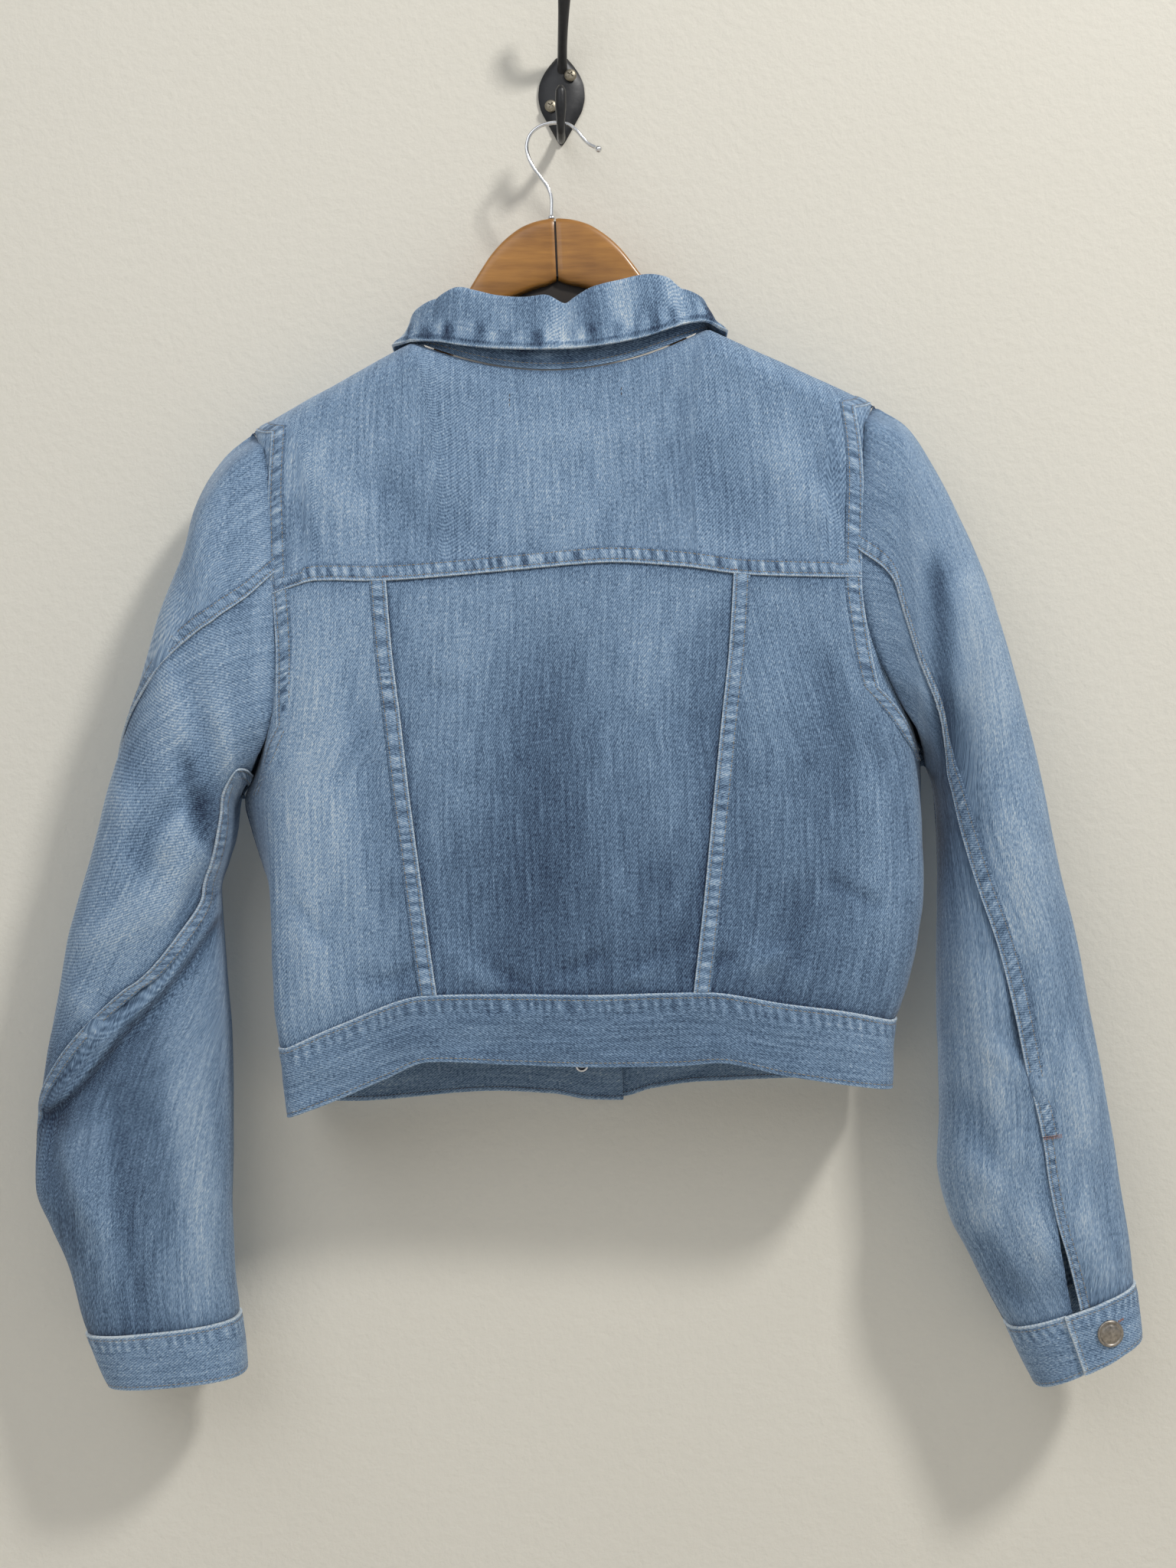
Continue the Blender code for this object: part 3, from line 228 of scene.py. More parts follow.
YOKE_SEAM = table(
    "x drop",
    (-190, 138.3), (-178, 134.5), (-160, 130.5), (-117, 132.5), (-38, 129.5), (20, 127), (70, 131.5),
    (110, 138.5), (152, 141.7), (186, 143.6))
WAIST_SEAM = table(
    "x drop",
    (-190, 423), (-155, 409), (-100, 393), (-47, 395), (13, 398), (70, 398.5), (123, 408.5), (164, 416),
    (190, 423))
HEM_BACK = table(
    "x drop",
    (-192, 467), (-157, 455), (-129, 444), (-101, 434), (-49, 438.5), (19, 443), (55, 443.5), (76, 442.5),
    (121, 453), (192, 467.5))
HEM_FRONT = table(
    "x drop",
    (-192, 467), (-150, 469.5), (-76, 466.5), (-26, 470), (0, 475), (22, 474), (38, 470), (72, 466.5),
    (128, 466.5), (170, 468.5), (192, 467))
SEAM_LEFT = table(
    "drop x",
    (133, -116), (175, -114), (222, -110), (268, -106.5), (315, -102), (357, -98), (394, -94))
SEAM_RIGHT = table("drop x", (139, 103), (184, 98), (230, 91), (288, 82.5), (346, 74), (397, 65.5))

SLEEVE = {
    -1: table(
        "in_x in_z out_x out_z y deep power seam_back seam_under",
        (-218.5, -265, -202.8, -27, -44, 32, 2.3, 81.5, 150),
        (-220, -267, -222, -45, -48, 37, 2.3, 84, 143), (-221, -270, -240, -74, -50, 41, 2.3, 81, 138.5),
        (-221.5, -273, -249, -106, -51, 43, 2.3, 73, 139.5),
        (-221.5, -277, -263, -141, -51, 44, 2.3, 62, 140),
        (-222, -283, -279, -187, -51, 44, 2.3, 39, 142.5),
        (-224, -293, -296, -235, -51, 44, 2.3, 2, 143.5), (-229, -307, -309, -275, -51, 43, 2.3, -22, 146),
        (-234.5, -325, -321, -312, -51, 42, 2.3, -34, 145.5),
        (-234, -352, -333, -350, -51, 41, 2.4, -44, 118), (-233, -385, -341, -384, -51, 39, 2.4, -52, 86),
        (-232.5, -425, -350.5, -427, -51, 37, 2.4, -60, 42),
        (-233, -470, -357.5, -468, -51, 35, 2.5, -66, 2), (-235, -508, -361, -508, -51, 34, 2.5, -70, -14),
        (-236, -535, -352.5, -535, -51, 33, 2.5, -74, -20),
        (-236, -565, -342, -562, -51, 32, 2.5, -78, -24),
        (-234.6, -597, -331.5, -603, -52, 30, 2.6, -80, -27)),
    1: table(
        "in_x in_z out_x out_z y deep power seam_back seam_under",
        (222.5, -263, 202.8, -27, -44, 32, 2.3, 82.5, 204), (223.8, -265, 222, -42, -48, 37, 2.3, 87, 208),
        (225, -268, 238, -71, -50, 41, 2.3, 107, 212), (226.5, -271, 251, -102, -51, 43, 2.3, 120.5, 216),
        (228, -275, 264, -136, -51, 44, 2.3, 136.5, 220), (229.3, -281, 276, -180, -51, 44, 2.3, 142, 222),
        (230, -291, 287, -228, -51, 44, 2.3, 139.5, 222), (230, -309, 297, -280, -51, 43, 2.3, 133.5, 222),
        (229, -337, 305.5, -330, -51, 42, 2.3, 121, 222),
        (226.5, -385, 314.5, -376, -51, 40, 2.4, 102, 220),
        (224.5, -430, 321, -421, -52, 38, 2.4, 94, 218), (224, -480, 328, -468, -52, 36, 2.5, 90, 216),
        (220.5, -522, 333.5, -513, -53, 34, 2.5, 86.5, 215),
        (226, -553, 337, -547, -54, 33, 2.5, 86.5, 214), (238, -580, 339.5, -572, -55, 32, 2.5, 87, 213),
        (249.5, -605, 340.6, -588, -55, 30, 2.5, 88, 212),
        (259, -624, 341.2, -599, -56, 28, 2.6, 89.5, 212)),
}
CUFF = {
    -1: table(
        "in_x in_z out_x out_z y deep power",
        (-234, -597.6, -332, -603.6, -52, 30, 2.6), (-232, -617, -326, -621, -52, 29, 2.6),
        (-231.5, -634, -319, -638, -52, 28, 2.6)),
    1: table(
        "in_x in_z out_x out_z y deep power",
        (259.2, -624.2, 341.6, -599.2, -56, 28, 2.6), (268, -645, 343.4, -616, -57, 27, 2.6),
        (276, -663, 344.4, -634, -57, 26.5, 2.6)),
}
CUFF_MEET = {-1: 262.0, 1: 100.0}
CUFF_BUTTON = {1: 76.0, -1: 236.0}
SLIT = table("step wide", (0, 0), (13, 0), (14, 9), (15, 11), (16, 13))
TWIST = table("x z", (-345, -446), (-326, -432), (-297, -400), (-258, -361), (-230, -318), (-212, -272))
STAND = table("turn high", (0, 30), (0.25, 30), (0.38, 18), (0.5, 4.5), (0.7, 8), (1.0, 12))
ROLL = table(
    "x z",
    (-101, 33), (-90, 39.5), (-75, 52.4), (-66, 55.5), (-55, 52.5), (-40, 48), (-20, 45.6), (-9, 46.4),
    (4.7, 40.4), (12, 44.5), (24, 50.5), (41, 54.7), (62, 58.2), (72, 56.8), (78, 52), (89, 43), (101, 33))
FALL_EDGE = table(
    "x z",
    (-109, 25), (-98, 24.6), (-83, 22.5), (-66, 18.3), (-42, 14.3), (-17, 12.3), (6, 11.7), (31, 13.6),
    (56, 18), (72, 23), (88, 27.7), (98, 29.2), (109, 25))
FALL_OUT = table(
    "turn roll low",
    (0, 2.5, 6.5), (0.3, 2.5, 7.5), (0.42, 1, 9), (0.5, 0, 12.5), (0.6, 2, 11), (0.75, 3.2, 6),
    (1, 3.4, 4.8))
FALL_FRONT = table(
    "turn roll low",
    (0.5, 33, 25), (0.54, 31.5, 19), (0.6, 27, -2), (0.7, 10, -34), (0.8, -10, -60), (0.87, -20, -92),
    (1.0, -31, -80))
HANGER = table(
    "x top high deep",
    (0.7, 104.6, 41, 6.0), (9, 103.6, 43, 6.2), (20, 100.4, 43, 6.4), (31.5, 93.2, 40, 6.6),
    (42, 83, 34, 6.8), (50, 72, 28, 7.0), (57, 61.5, 24, 7.0), (71, 40, 22, 6.0), (82, 23.5, 20, 4.9),
    (91, 15.4, 17, 4.6), (104, 18.4, 19, 5.6), (125, 9.6, 17, 6.0), (160, -8.1, 15, 5.8),
    (184, -20.4, 13, 5.4), (192, -25.6, 9, 4.0))
WIRE = ((-6.1, -86.0), (-6.0, -76.5), (-7.9, -68.9), (-13.0, -61.4), (-17.7, -55.0), (-21.2, -47.9),
        (-22.5, -41.5), (-21.2, -35.3), (-17.2, -30.0), (-11.0, -26.6), (-3.4, -25.3), (3.8, -26.2),
        (9.7, -29.8), (14.3, -35.1), (18.3, -39.2), (22.6, -41.5))
PLATE = table(
    "z half thick",
    (-29.5, 0.8, 2.0), (-27, 2.6, 3.2), (-22, 5.4, 4.0), (-14, 9.8, 4.4), (-5, 14.2, 4.6), (3, 15.6, 4.6),
    (10, 15.0, 4.6), (17, 12.4, 4.4), (23, 8.6, 4.2), (28.5, 4.0, 3.6))


def place(points: Array) -> Array:
    """Points of the jacket's frame, in millimetres, carried to the wall plate's, in metres."""
    p = np.asarray(points, float)
    x = NECK_AT[0] + p[..., 0] * math.cos(LEAN) - p[..., 2] * math.sin(LEAN)
    z = NECK_AT[1] + p[..., 0] * math.sin(LEAN) + p[..., 2] * math.cos(LEAN)
    return np.stack((x, p[..., 1], z), axis=-1) * MM


def top_back(x: Array) -> Array:
    """Height of the back neck seam and the shoulder line."""
    q = np.abs(x)
    slope = (NECK_RISE + SHOULDER_DROP) / (SHOULDER_HALF - NECK_HALF)
    return np.where(q < NECK_HALF, NECK_RISE * (q / NECK_HALF) ** 2,
                    NECK_RISE - (q - NECK_HALF) * slope)


def top_front(x: Array) -> Array:
    """Height of the front neckline and the shoulder line."""
    q = np.abs(x)
    return np.where(q < NECK_HALF,
                    FRONT_NECK_Z + (NECK_RISE - FRONT_NECK_Z) * (q / NECK_HALF) ** 2.4, top_back(x))


def ring_depth(x: Array, deep: float) -> Array:
    """Depth of the neck ring at x, zero past the neck points."""
    return deep * np.sqrt(held(1 - (x / NECK_HALF) ** 2))


def back_depth(x: Array, z: Array) -> Array:
    """Depth of the flat of the back, with the soft tubes that stand out above the hem."""
    y = along(BACK_DEPTH, "drop", "y", -z)
    grow = held((-z - FLUTE_START) / FLUTE_GROW)
    for fx, wide, deep in zip(FLUTES["x"], FLUTES["wide"], FLUTES["deep"]):
        y = y - deep * grow * grow * np.exp(-((x - fx) / wide) ** 2)
    return y


def front_depth(x: Array, z: Array, side: float) -> Array:
    """Depth of the front; the right front laps outside the left at the middle."""
    y = along(FRONT_DEPTH, "drop", "y", -z)
    return y + side * LAP * np.exp(-(np.clip(side * x + OVERLAP, 0, None) / LAP_FADE) ** 2)


@dataclass(frozen=True)
class Zone:
    """One level of the body: its upper and lower line, the drop of both at the edge, and its side.

    Attributes:
        top: height of the upper line at x.
        low: height of the lower line at x.
        drops: drop of the edge point at the top and at the bottom, for each side.
        back: whether it lies on the back.
    """
    top: Callable[[Array], Array]
    low: Callable[[Array], Array]
    drops: dict[int, tuple[float, float]]
    back: bool

    def level(self, side: int, v: Array) -> Array:
        """Drop of the edge point of row v, 0 at the top and 1 at the bottom."""
        return lerp(*self.drops[side], v)

    def sizes(self, side: int, v: Array) -> tuple:
        """The edge, the fold, how square the fold is, the edge's depth and the way round it."""
        d = self.level(side, v)
        e = EDGE[side]
        y_edge = glide(e["drop"], e["y_back" if self.back else "y_front"], d)
        flat = along(BACK_DEPTH if self.back else FRONT_DEPTH, "drop", "y", d)
        return (glide(e["drop"], e["x"], d), glide(e["drop"], e["fold"], d),
                glide(e["drop"], e["power"], d), y_edge, np.abs(flat - y_edge) + 0.5)

    def share(self, side: int, x: Array, v: Array) -> Array:
        """How far across (0 middle, 1 edge) row v passes the distance x from the middle."""
        _, fold, power, _, depth = self.sizes(side, v)
        p = np.minimum(np.abs(x) / fold, 0.999)
        return p / (1 - p ** power) ** (1 / power) * fold / (fold + depth)

    def point(self, s: Array, v: Array) -> Array:
        """Points of the body.

        Args:
            s: -1 at the left edge to 1 at the right edge.
            v: 0 at the upper line to 1 at the lower line.
        Returns:
            Points in the jacket's frame.
        """
        s, v = np.broadcast_arrays(np.asarray(s, float), np.asarray(v, float))
        out = np.zeros(s.shape + (3,))
        for side in (-1, 1):
            pick = (s < 0) if side < 0 else (s >= 0)
            if not pick.any():
                continue
            c, vv = np.abs(s[pick]), v[pick]
            edge, fold, power, y_edge, depth = self.sizes(side, vv)
            run = c * (fold + depth)
            cx = np.minimum(run / fold, 1.0)
            cy = np.clip(1 - (run - fold) / depth, 0.0, 1.0)
            norm = (cx ** power + cy ** power) ** (1 / power)
            px, py = cx / norm, cy / norm
            x = side * px * (fold + (edge - fold) * (1 - py))
            z = lerp(self.top(x), self.low(x), vv)
            y = back_depth(x, z) if self.back else front_depth(x, z, side)
            if self.drops[1][0] == SHOULDER_DROP:
                start = RIDGE_Y - ring_depth(x, NECK_DEEP_BACK if self.back else -NECK_DEEP_FRONT)
                u = np.clip((self.top(x) - z) / RIDGE_ROUND, 0, 1)
                y = start + (y - start) * np.sqrt(1 - (1 - u) ** 2)
            out[pick] = np.stack((x, y_edge + (y - y_edge) * py, z), axis=-1)
        return out


def seam_line(tab: Table) -> Callable[[Array], Array]:
    """Height over x of a line whose table gives its drop."""
    return lambda x: -along(tab, "x", "drop", x)


def both(top: float, low: float) -> dict[int, tuple[float, float]]:
    """The same pair of drops on both sides."""
    return {-1: (top, low), 1: (top, low)}


YOKE = Zone(top_back, seam_line(YOKE_SEAM), {s: (SHOULDER_DROP, YOKE_END[s]) for s in (-1, 1)}, True)
BACK = Zone(seam_line(YOKE_SEAM), seam_line(WAIST_SEAM), {s: (YOKE_END[s], WAIST_END) for s in (-1, 1)},
            True)
BAND_BACK = Zone(seam_line(WAIST_SEAM), seam_line(HEM_BACK), both(WAIST_END, HEM_END), True)
FRONT = Zone(top_front, lambda x: WAIST_HIGH + seam_line(HEM_FRONT)(x), both(SHOULDER_DROP, WAIST_END),
             False)
BAND_FRONT = Zone(lambda x: WAIST_HIGH + seam_line(HEM_FRONT)(x), seam_line(HEM_FRONT),
                  both(WAIST_END, HEM_END), False)


def neck(turn: Array) -> Array:
    """The neck seam; turn runs -1 (front, left) through 0 (back) to 1 (front, right)."""
    x = NECK_HALF * np.sin(math.pi * turn)
    back = np.abs(turn) <= 0.5
    deep = np.where(back, NECK_DEEP_BACK, NECK_DEEP_FRONT)
    y = RIDGE_Y - deep * np.cos(math.pi * turn)
    return np.stack((x, y, np.where(back, top_back(x), top_front(x))), axis=-1)


def pushed(turn: Array, out: Array, z: Array) -> Array:
    """The neck ring widened by out, at height z."""
    deep = np.where(np.abs(turn) <= 0.5, NECK_DEEP_BACK, NECK_DEEP_FRONT)
    return np.stack(((NECK_HALF + out) * np.sin(math.pi * turn),
                     RIDGE_Y - (deep + out) * np.cos(math.pi * turn), z), axis=-1)


def clear_of_body(p: Array, front: Array, lift: Array) -> Array:
    """Moves points that fall below the shoulder and neck line out past the body's surface."""
    x, z = p[..., 0], p[..., 2]
    top = np.where(front, top_front(x), top_back(x)) + lift
    deep = np.where(front, -NECK_DEEP_FRONT, NECK_DEEP_BACK)
    start = RIDGE_Y - ring_depth(x, deep)
    flat = np.where(front, front_depth(x, z, np.sign(x)) + lift, back_depth(x, z) - lift)
    u = held((top - z) / RIDGE_ROUND)
    limit = start + (flat - start) * np.sqrt(1 - (1 - u) ** 2)
    q = p.copy()
    below = z < top
    q[..., 1] = np.where(below & front, np.maximum(p[..., 1], limit), q[..., 1])
    q[..., 1] = np.where(below & ~front, np.minimum(p[..., 1], limit), q[..., 1])
    return q


def stand_height(turn: Array) -> Array:
    """Height of the stand; low at the sides where the collar lies down on the shoulders."""
    return along(STAND, "turn", "high", np.abs(turn))


def stand(turn: Array, v: Array) -> Array:
    """The stand from the neck seam (v 0) to its top (v 1)."""
    base = neck(turn)
    return pushed(turn, -0.6 + 0 * turn, base[..., 2] + 0.9 + (stand_height(turn) - 0.9) * v)


def fall(turn: Array, w: Array) -> Array:
    """The fall: w 0 at the stand, up to the roll, then down its outside to the edge at 1."""
    down = held((w - 0.45) / 0.55)
    turn = turn * (1 - 0.12 * down * held(np.abs(turn) / 0.985) ** 6)
    q = np.abs(turn)
    root = neck(turn)[..., 2] + stand_height(turn) + 0.5
    out_roll, out_low = along(FALL_OUT, "turn", "roll", q), along(FALL_OUT, "turn", "low", q)
    x_mid = (NECK_HALF + 4) * np.sin(math.pi * turn)
    roll = np.where(q <= 0.5, along(ROLL, "x", "z", x_mid), along(FALL_FRONT, "turn", "roll", q))
    low = np.where(q <= 0.5, along(FALL_EDGE, "x", "z", x_mid * 1.08),
                   along(FALL_FRONT, "turn", "low", q))
    roll = np.maximum(roll, root + 4.0)
    up = held(w / 0.3)
    over = held((w - 0.3) / 0.15)
    out = -0.6 + (out_roll + 0.6) * (1 - np.cos(math.pi * over)) / 2 + (out_low - out_roll) * down
    arch = 1.6 * np.sin(math.pi * over)
    z = np.where(w > 0.45, lerp(roll - 1.6, low, down), lerp(root, roll - 1.6, up) + arch)
    lift = 1.3 + 2.9 * np.exp(-((q - 0.56) / 0.07) ** 2)
    p = pushed(turn, out, z)
    return np.where((w > 0.45)[..., None], clear_of_body(p, q > 0.5, lift), p)


def ring_point(tab: Table, step: Array, angle: Array) -> Array:
    """A point of a tube: step runs over the table's rows, angle round the ring in degrees."""
    k = np.arange(len(tab["y"]))
    g = {n: glide(k, tab[n], step) for n in tab}
    a = np.radians(angle)
    ca = np.sign(np.cos(a)) * np.abs(np.cos(a)) ** (2 / g["power"])
    sa = np.sign(np.sin(a)) * np.abs(np.sin(a)) ** (2 / g["power"])
    x = (g["in_x"] + g["out_x"]) / 2 + (g["out_x"] - g["in_x"]) / 2 * ca
    z = (g["in_z"] + g["out_z"]) / 2 + (g["out_z"] - g["in_z"]) / 2 * ca
    return np.stack((x, g["y"] - g["deep"] * sa, z), axis=-1)


def armhole(side: int, z: Array, back: Array) -> Array:
    """The armhole seam at height z, on the back or the front of the body."""
    e = EDGE[side]
    x = side * (glide(e["drop"], e["x"], -z) + np.where(back, 2, 5) * GAP)
    flat = glide(e["drop"], e["y_back"], -z)
    tucked = np.where(back, rise(-z, *TUCK_GROWS) * (1 - 0.8 * rise(-z, *TUCK_EASES)), 0)
    x = x - side * SLEEVE_TUCK * tucked
    room = np.clip(flat - along(BACK_DEPTH, "drop", "y", -z), 0, None) * tucked
    raised = np.clip(room - SLEEVE_UNDER, 0, SLEEVE_RAISED)
    y = np.where(back, flat - raised, glide(e["drop"], e["y_front"], -z))
    return np.stack((x, y, z), axis=-1)


def twist_line(x: Array) -> Array:
    """Height of the left sleeve's long slanting fold."""
    return along(TWIST, "x", "z", x)


def twist(side: int, p: Array, angle: Array) -> Array:
    """The long slanting fold of the left sleeve, below which the cloth turns inwards."""
    if side > 0:
        return p
    below = twist_line(p[..., 0]) - p[..., 2] - TWIST_BAND
    facing = np.clip(np.sin(np.radians(angle)) * 1.6, 0, 1)
    step = rise(below, 0, 8) * np.exp(-np.clip(below, 0, None) / TWIST_FADE)
    inside = np.clip((-205 - p[..., 0]) / 25, 0, 1)
    q = p.copy()
    q[..., 1] += TWIST_DEEP * step * facing * inside
    return q


def sleeve_point(side: int, angle: Array, step: Array) -> Array:
    """Points of a sleeve; the first rings bend from the armhole's own shape to plain rings."""
    step, angle = np.broadcast_arrays(np.asarray(step, float), np.asarray(angle, float))
    p = ring_point(SLEEVE[side], step, angle)
    first = ring_point(SLEEVE[side], np.zeros_like(step), angle)
    seam = armhole(side, first[..., 2], np.sin(np.radians(angle)) >= 0)
    fade = held(1 - step / 4.5)
    return twist(side, p + (seam - first) * (fade ** 1.5)[..., None], angle)


def seam_angle(side: int, which: str, step: Array) -> Array:
    """Where a lengthwise seam runs round the sleeve, in degrees."""
    return glide(np.arange(len(SLEEVE[side]["y"])), SLEEVE[side][which], step)


def slit(step: Array) -> Array:
    """Degrees by which the sleeve opening above the cuff stands apart."""
    return along(SLIT, "step", "wide", step)


# ------------------------------------------------------------------ meshes
def linked(name: str, data: object) -> Thing:
    """A new object of the scene."""
    piece = bpy.data.objects.new(name, data)
    bpy.context.collection.objects.link(piece)
    return piece


def to_mesh(name: str, bm: BMesh) -> bpy.types.Mesh:
    """A mesh of a bmesh, which is freed."""
    mesh = bpy.data.meshes.new(name)
    bm.to_mesh(mesh)
    bm.free()
    return mesh


def absorb(whole: BMesh, part: BMesh) -> None:
    """Adds a part to a bmesh; the part is freed."""
    mesh = to_mesh("part", part)
    whole.from_mesh(mesh)
    bpy.data.meshes.remove(mesh)


def carry(bm: BMesh, points: Array) -> None:
    """Moves a bmesh's vertices to the points."""
    for vert, co in zip(bm.verts, points.tolist()):
        vert.co = co


def square(across: int, down: int) -> tuple[BMesh, Array]:
    """A grid from -1 to 1 both ways, with its flat coordinates."""
    bm = bmesh.new()
    bmesh.ops.create_grid(bm, x_segments=across, y_segments=down, size=1.0)
    return bm, np.array([v.co[:2] for v in bm.verts])


def gathered(bm: BMesh) -> BMesh:
    """A rolled grid with its sides joined and its ends closed."""
    bmesh.ops.remove_doubles(bm, verts=bm.verts, dist=2e-6)
    bmesh.ops.holes_fill(bm, edges=bm.edges, sides=0)
    bmesh.ops.recalc_face_normals(bm, faces=bm.faces)
    return bm


# ------------------------------------------------------------------ sheets of cloth
class Way(Enum):
    """How the cloth's warp lies on a piece."""
    DOWN = "down"
    ACROSS = "across"


@dataclass
class Grid:
    """A sheet's places, which its relief and its tones are worked out from.

    Attributes:
        p: points of the jacket's frame.
        a: shares across, 0 to 1.
        b: shares down, 0 to 1.
        u: way run across, from the middle.
        v: way run down, from the top.
    """
    p: Array
    a: Array
    b: Array
    u: Array
    v: Array

    @property
    def low(self) -> Array:
        """How far it is down to the lower edge."""
        return self.v.max(axis=0, keepdims=True) - self.v

    @property
    def rim(self) -> Array:
        """How far it is to the nearest edge."""
        u = self.u
        return np.minimum.reduce([u - u.min(axis=1, keepdims=True), u.max(axis=1, keepdims=True) - u,
                                  self.v, self.low])

    @property
    def ends(self) -> Array:
        """Share of the way to the nearer end across."""
        return np.minimum(self.a, 1 - self.a)

    def laid_flat(self, squeeze: float) -> Array:
        """Flat coordinates, with the way down squeezed so that a pattern runs longer along it."""
        return np.stack((self.u, self.v * squeeze), axis=-1)


@dataclass
class Laid:
    """A finished sheet with the grid it was laid on, for what is sewn to it.

    Attributes:
        piece: the object.
        points: the grid's points, in the jacket's frame (rows, columns, 3).
        normals: the outward directions there.
    """
    piece: Thing
    points: Array
    normals: Array

    def read(self, a: Array, b: Array, lift: float = 0.0) -> Pair:
        """Points and normals at shares a across and b down of the grid, lifted outwards.

        One of the two shares may be a single number.
        """
        rows, cols = self.points.shape[:2]
        x = held(a) * (cols - 1)
        y = held(b) * (rows - 1)
        i, j = np.minimum(x.astype(int), cols - 2), np.minimum(y.astype(int), rows - 2)
        fx, fy = (x - i)[..., None], (y - j)[..., None]
        out = []
        for g in (self.points, self.normals):
            out.append(lerp(lerp(g[j, i], g[j, i + 1], fx), lerp(g[j + 1, i], g[j + 1, i + 1], fx), fy))
        return out[0] + out[1] * lift, unit(out[1])

    def near(self, places: Sequence[tuple[float, float]], lift: float = 0.1) -> Pair:
        """Points and normals of the sheet nearest to places given by x and z."""
        flat, ups = self.points.reshape(-1, 3), self.normals.reshape(-1, 3)
        at = [int(np.argmin((flat[:, 0] - x) ** 2 + (flat[:, 2] - z) ** 2)) for x, z in places]
        exact = np.array([(x, flat[i, 1], z) for i, (x, z) in zip(at, places)])
        return exact + ups[at] * lift, ups[at]

    def flat(self) -> tuple[float, float, float]:
        """Width, length and area of the cloth laid flat, in metres."""
        p = self.points * MM
        across = np.linalg.norm(np.diff(p, axis=1), axis=-1)
        down = np.linalg.norm(np.diff(p, axis=0), axis=-1)
        u, v = p[:-1, 1:] - p[:-1, :-1], p[1:, :-1] - p[:-1, :-1]
        area = float(np.linalg.norm(np.cross(u, v), axis=-1).sum())
        wide, long = float(across.sum(axis=1).max()), float(down.sum(axis=0).max())
        return round(wide, 3), round(long, 3), round(min(area, wide * long), 4)


@dataclass
class Sheet:
    """A thin cloth piece on a surface.

    Attributes:
        name: the piece's name.
        surface: points of the jacket's frame over shares across and down, both 0 to 1.
        across: grid steps across.
        down: grid steps down.
        out: 1 or -1, which way the grid's own normal has to turn to look outwards.
        thick: the cloth's thickness.
        relief: height above the surface.
        tones: worn paleness with painted highlight, and painted shade, each up to 1, from the raised sheet
            and its heights.
        warp: how the warp lies.
        mirror: whether the twill leans the other way.
        edge: radius of the turned edges.
    """
    name: str
    surface: Surface
    across: int
    down: int
    out: int
    thick: float
    relief: Callable[[Grid], Array]
    tones: Callable[[Grid, Array], Pair]
    warp: Way = Way.DOWN
    mirror: bool = False
    edge: float = 0.35

    def lay(self, material: Material) -> Laid:
        """Makes the sheet: a grid carried to the surface, its thickness and its rounded edges."""
        bm = bmesh.new()
        uv = bm.loops.layers.uv.new("cloth")
        bmesh.ops.create_grid(bm, x_segments=self.across, y_segments=self.down, size=1.0)
        plane = np.array([v.co[:2] for v in bm.verts])
        cols, rows = self.across + 1, self.down + 1
        index = (np.rint((1 - plane[:, 1]) / 2 * self.down).astype(int) * cols
                 + np.rint((plane[:, 0] + 1) / 2 * self.across).astype(int))
        a, b = np.meshgrid(np.linspace(0, 1, cols), np.linspace(0, 1, rows))
        points = self.surface(a, b)
        normals = unit(np.cross(np.gradient(points, axis=1), np.gradient(points, axis=0))) * self.out
        step_u = np.linalg.norm(np.diff(points, axis=1, prepend=points[:, :1]), axis=-1)
        step_v = np.linalg.norm(np.diff(points, axis=0, prepend=points[:1]), axis=-1)
        run_u, run_v = np.cumsum(step_u, axis=1), np.cumsum(step_v, axis=0)
        run_u = run_u - run_u[:, cols // 2][:, None]
        height = self.relief(Grid(points, a, b, run_u, run_v))
        points = points + normals * height[..., None]
        wear, shade = self.tones(Grid(points, a, b, run_u, run_v), height)
        carry(bm, place(points).reshape(-1, 3)[index])
        weft = run_u * (-1 if self.mirror else 1)
        pair = (weft, run_v) if self.warp is Way.DOWN else (run_v, weft)
        flat = (np.stack(pair, axis=-1) * MM).reshape(-1, 2)[index].tolist()
        for face in bm.faces:
            for loop in face.loops:
                loop[uv].uv = flat[loop.vert.index]
        if self.out > 0:
            bmesh.ops.reverse_faces(bm, faces=bm.faces)
        mesh = to_mesh(self.name, bm)
        # Stored for the material: worn paleness with painted highlight, and painted shade.
        for label, values in (("wear", wear), ("shade", shade)):
            layer = mesh.attributes.new(label, "FLOAT", "POINT")
            layer.data.foreach_set("value", values.reshape(-1)[index].astype(np.float32))
        mesh.shade_smooth()
        mesh.materials.append(material)
        piece = linked(self.name, mesh)
        shell = piece.modifiers.new("thickness", "SOLIDIFY")
        shell.thickness, shell.offset = self.thick * MM, -1.0
        turn = piece.modifiers.new("turned_edge", "BEVEL")
        turn.width, turn.segments, turn.limit_method = self.edge * MM, 2, "ANGLE"
        turn.angle_limit = math.radians(55)
        return Laid(piece, points, normals)


# ------------------------------------------------------------------ folds
@dataclass(frozen=True)
class Fold:
    """A soft crease: a ridge or a trough between two points of the jacket's frame.

    Attributes:
        start: x and z of one end.
        end: x and z of the other.
        wide: half width across.
        high: height of the ridge, below zero for a trough.
        bow: how far its middle bends to the side.
    """
    start: tuple[float, float]
    end: tuple[float, float]
    wide: float
    high: float
    bow: float = 0.0

    def height(self, x: Array, z: Array) -> Array:
        """Its height at the given places."""
        dx, dz = self.end[0] - self.start[0], self.end[1] - self.start[1]
        long = math.hypot(dx, dz)
        t = ((x - self.start[0]) * dx + (z - self.start[1]) * dz) / long ** 2
        off = ((x - self.start[0]) * dz - (z - self.start[1]) * dx) / long
        off = off - self.bow * 4 * t * (1 - t)
        ends = rise(t, -0.12, 0.25) * (1 - rise(t, 0.75, 1.12))
        return self.high * np.exp(-(off / self.wide) ** 2) * ends


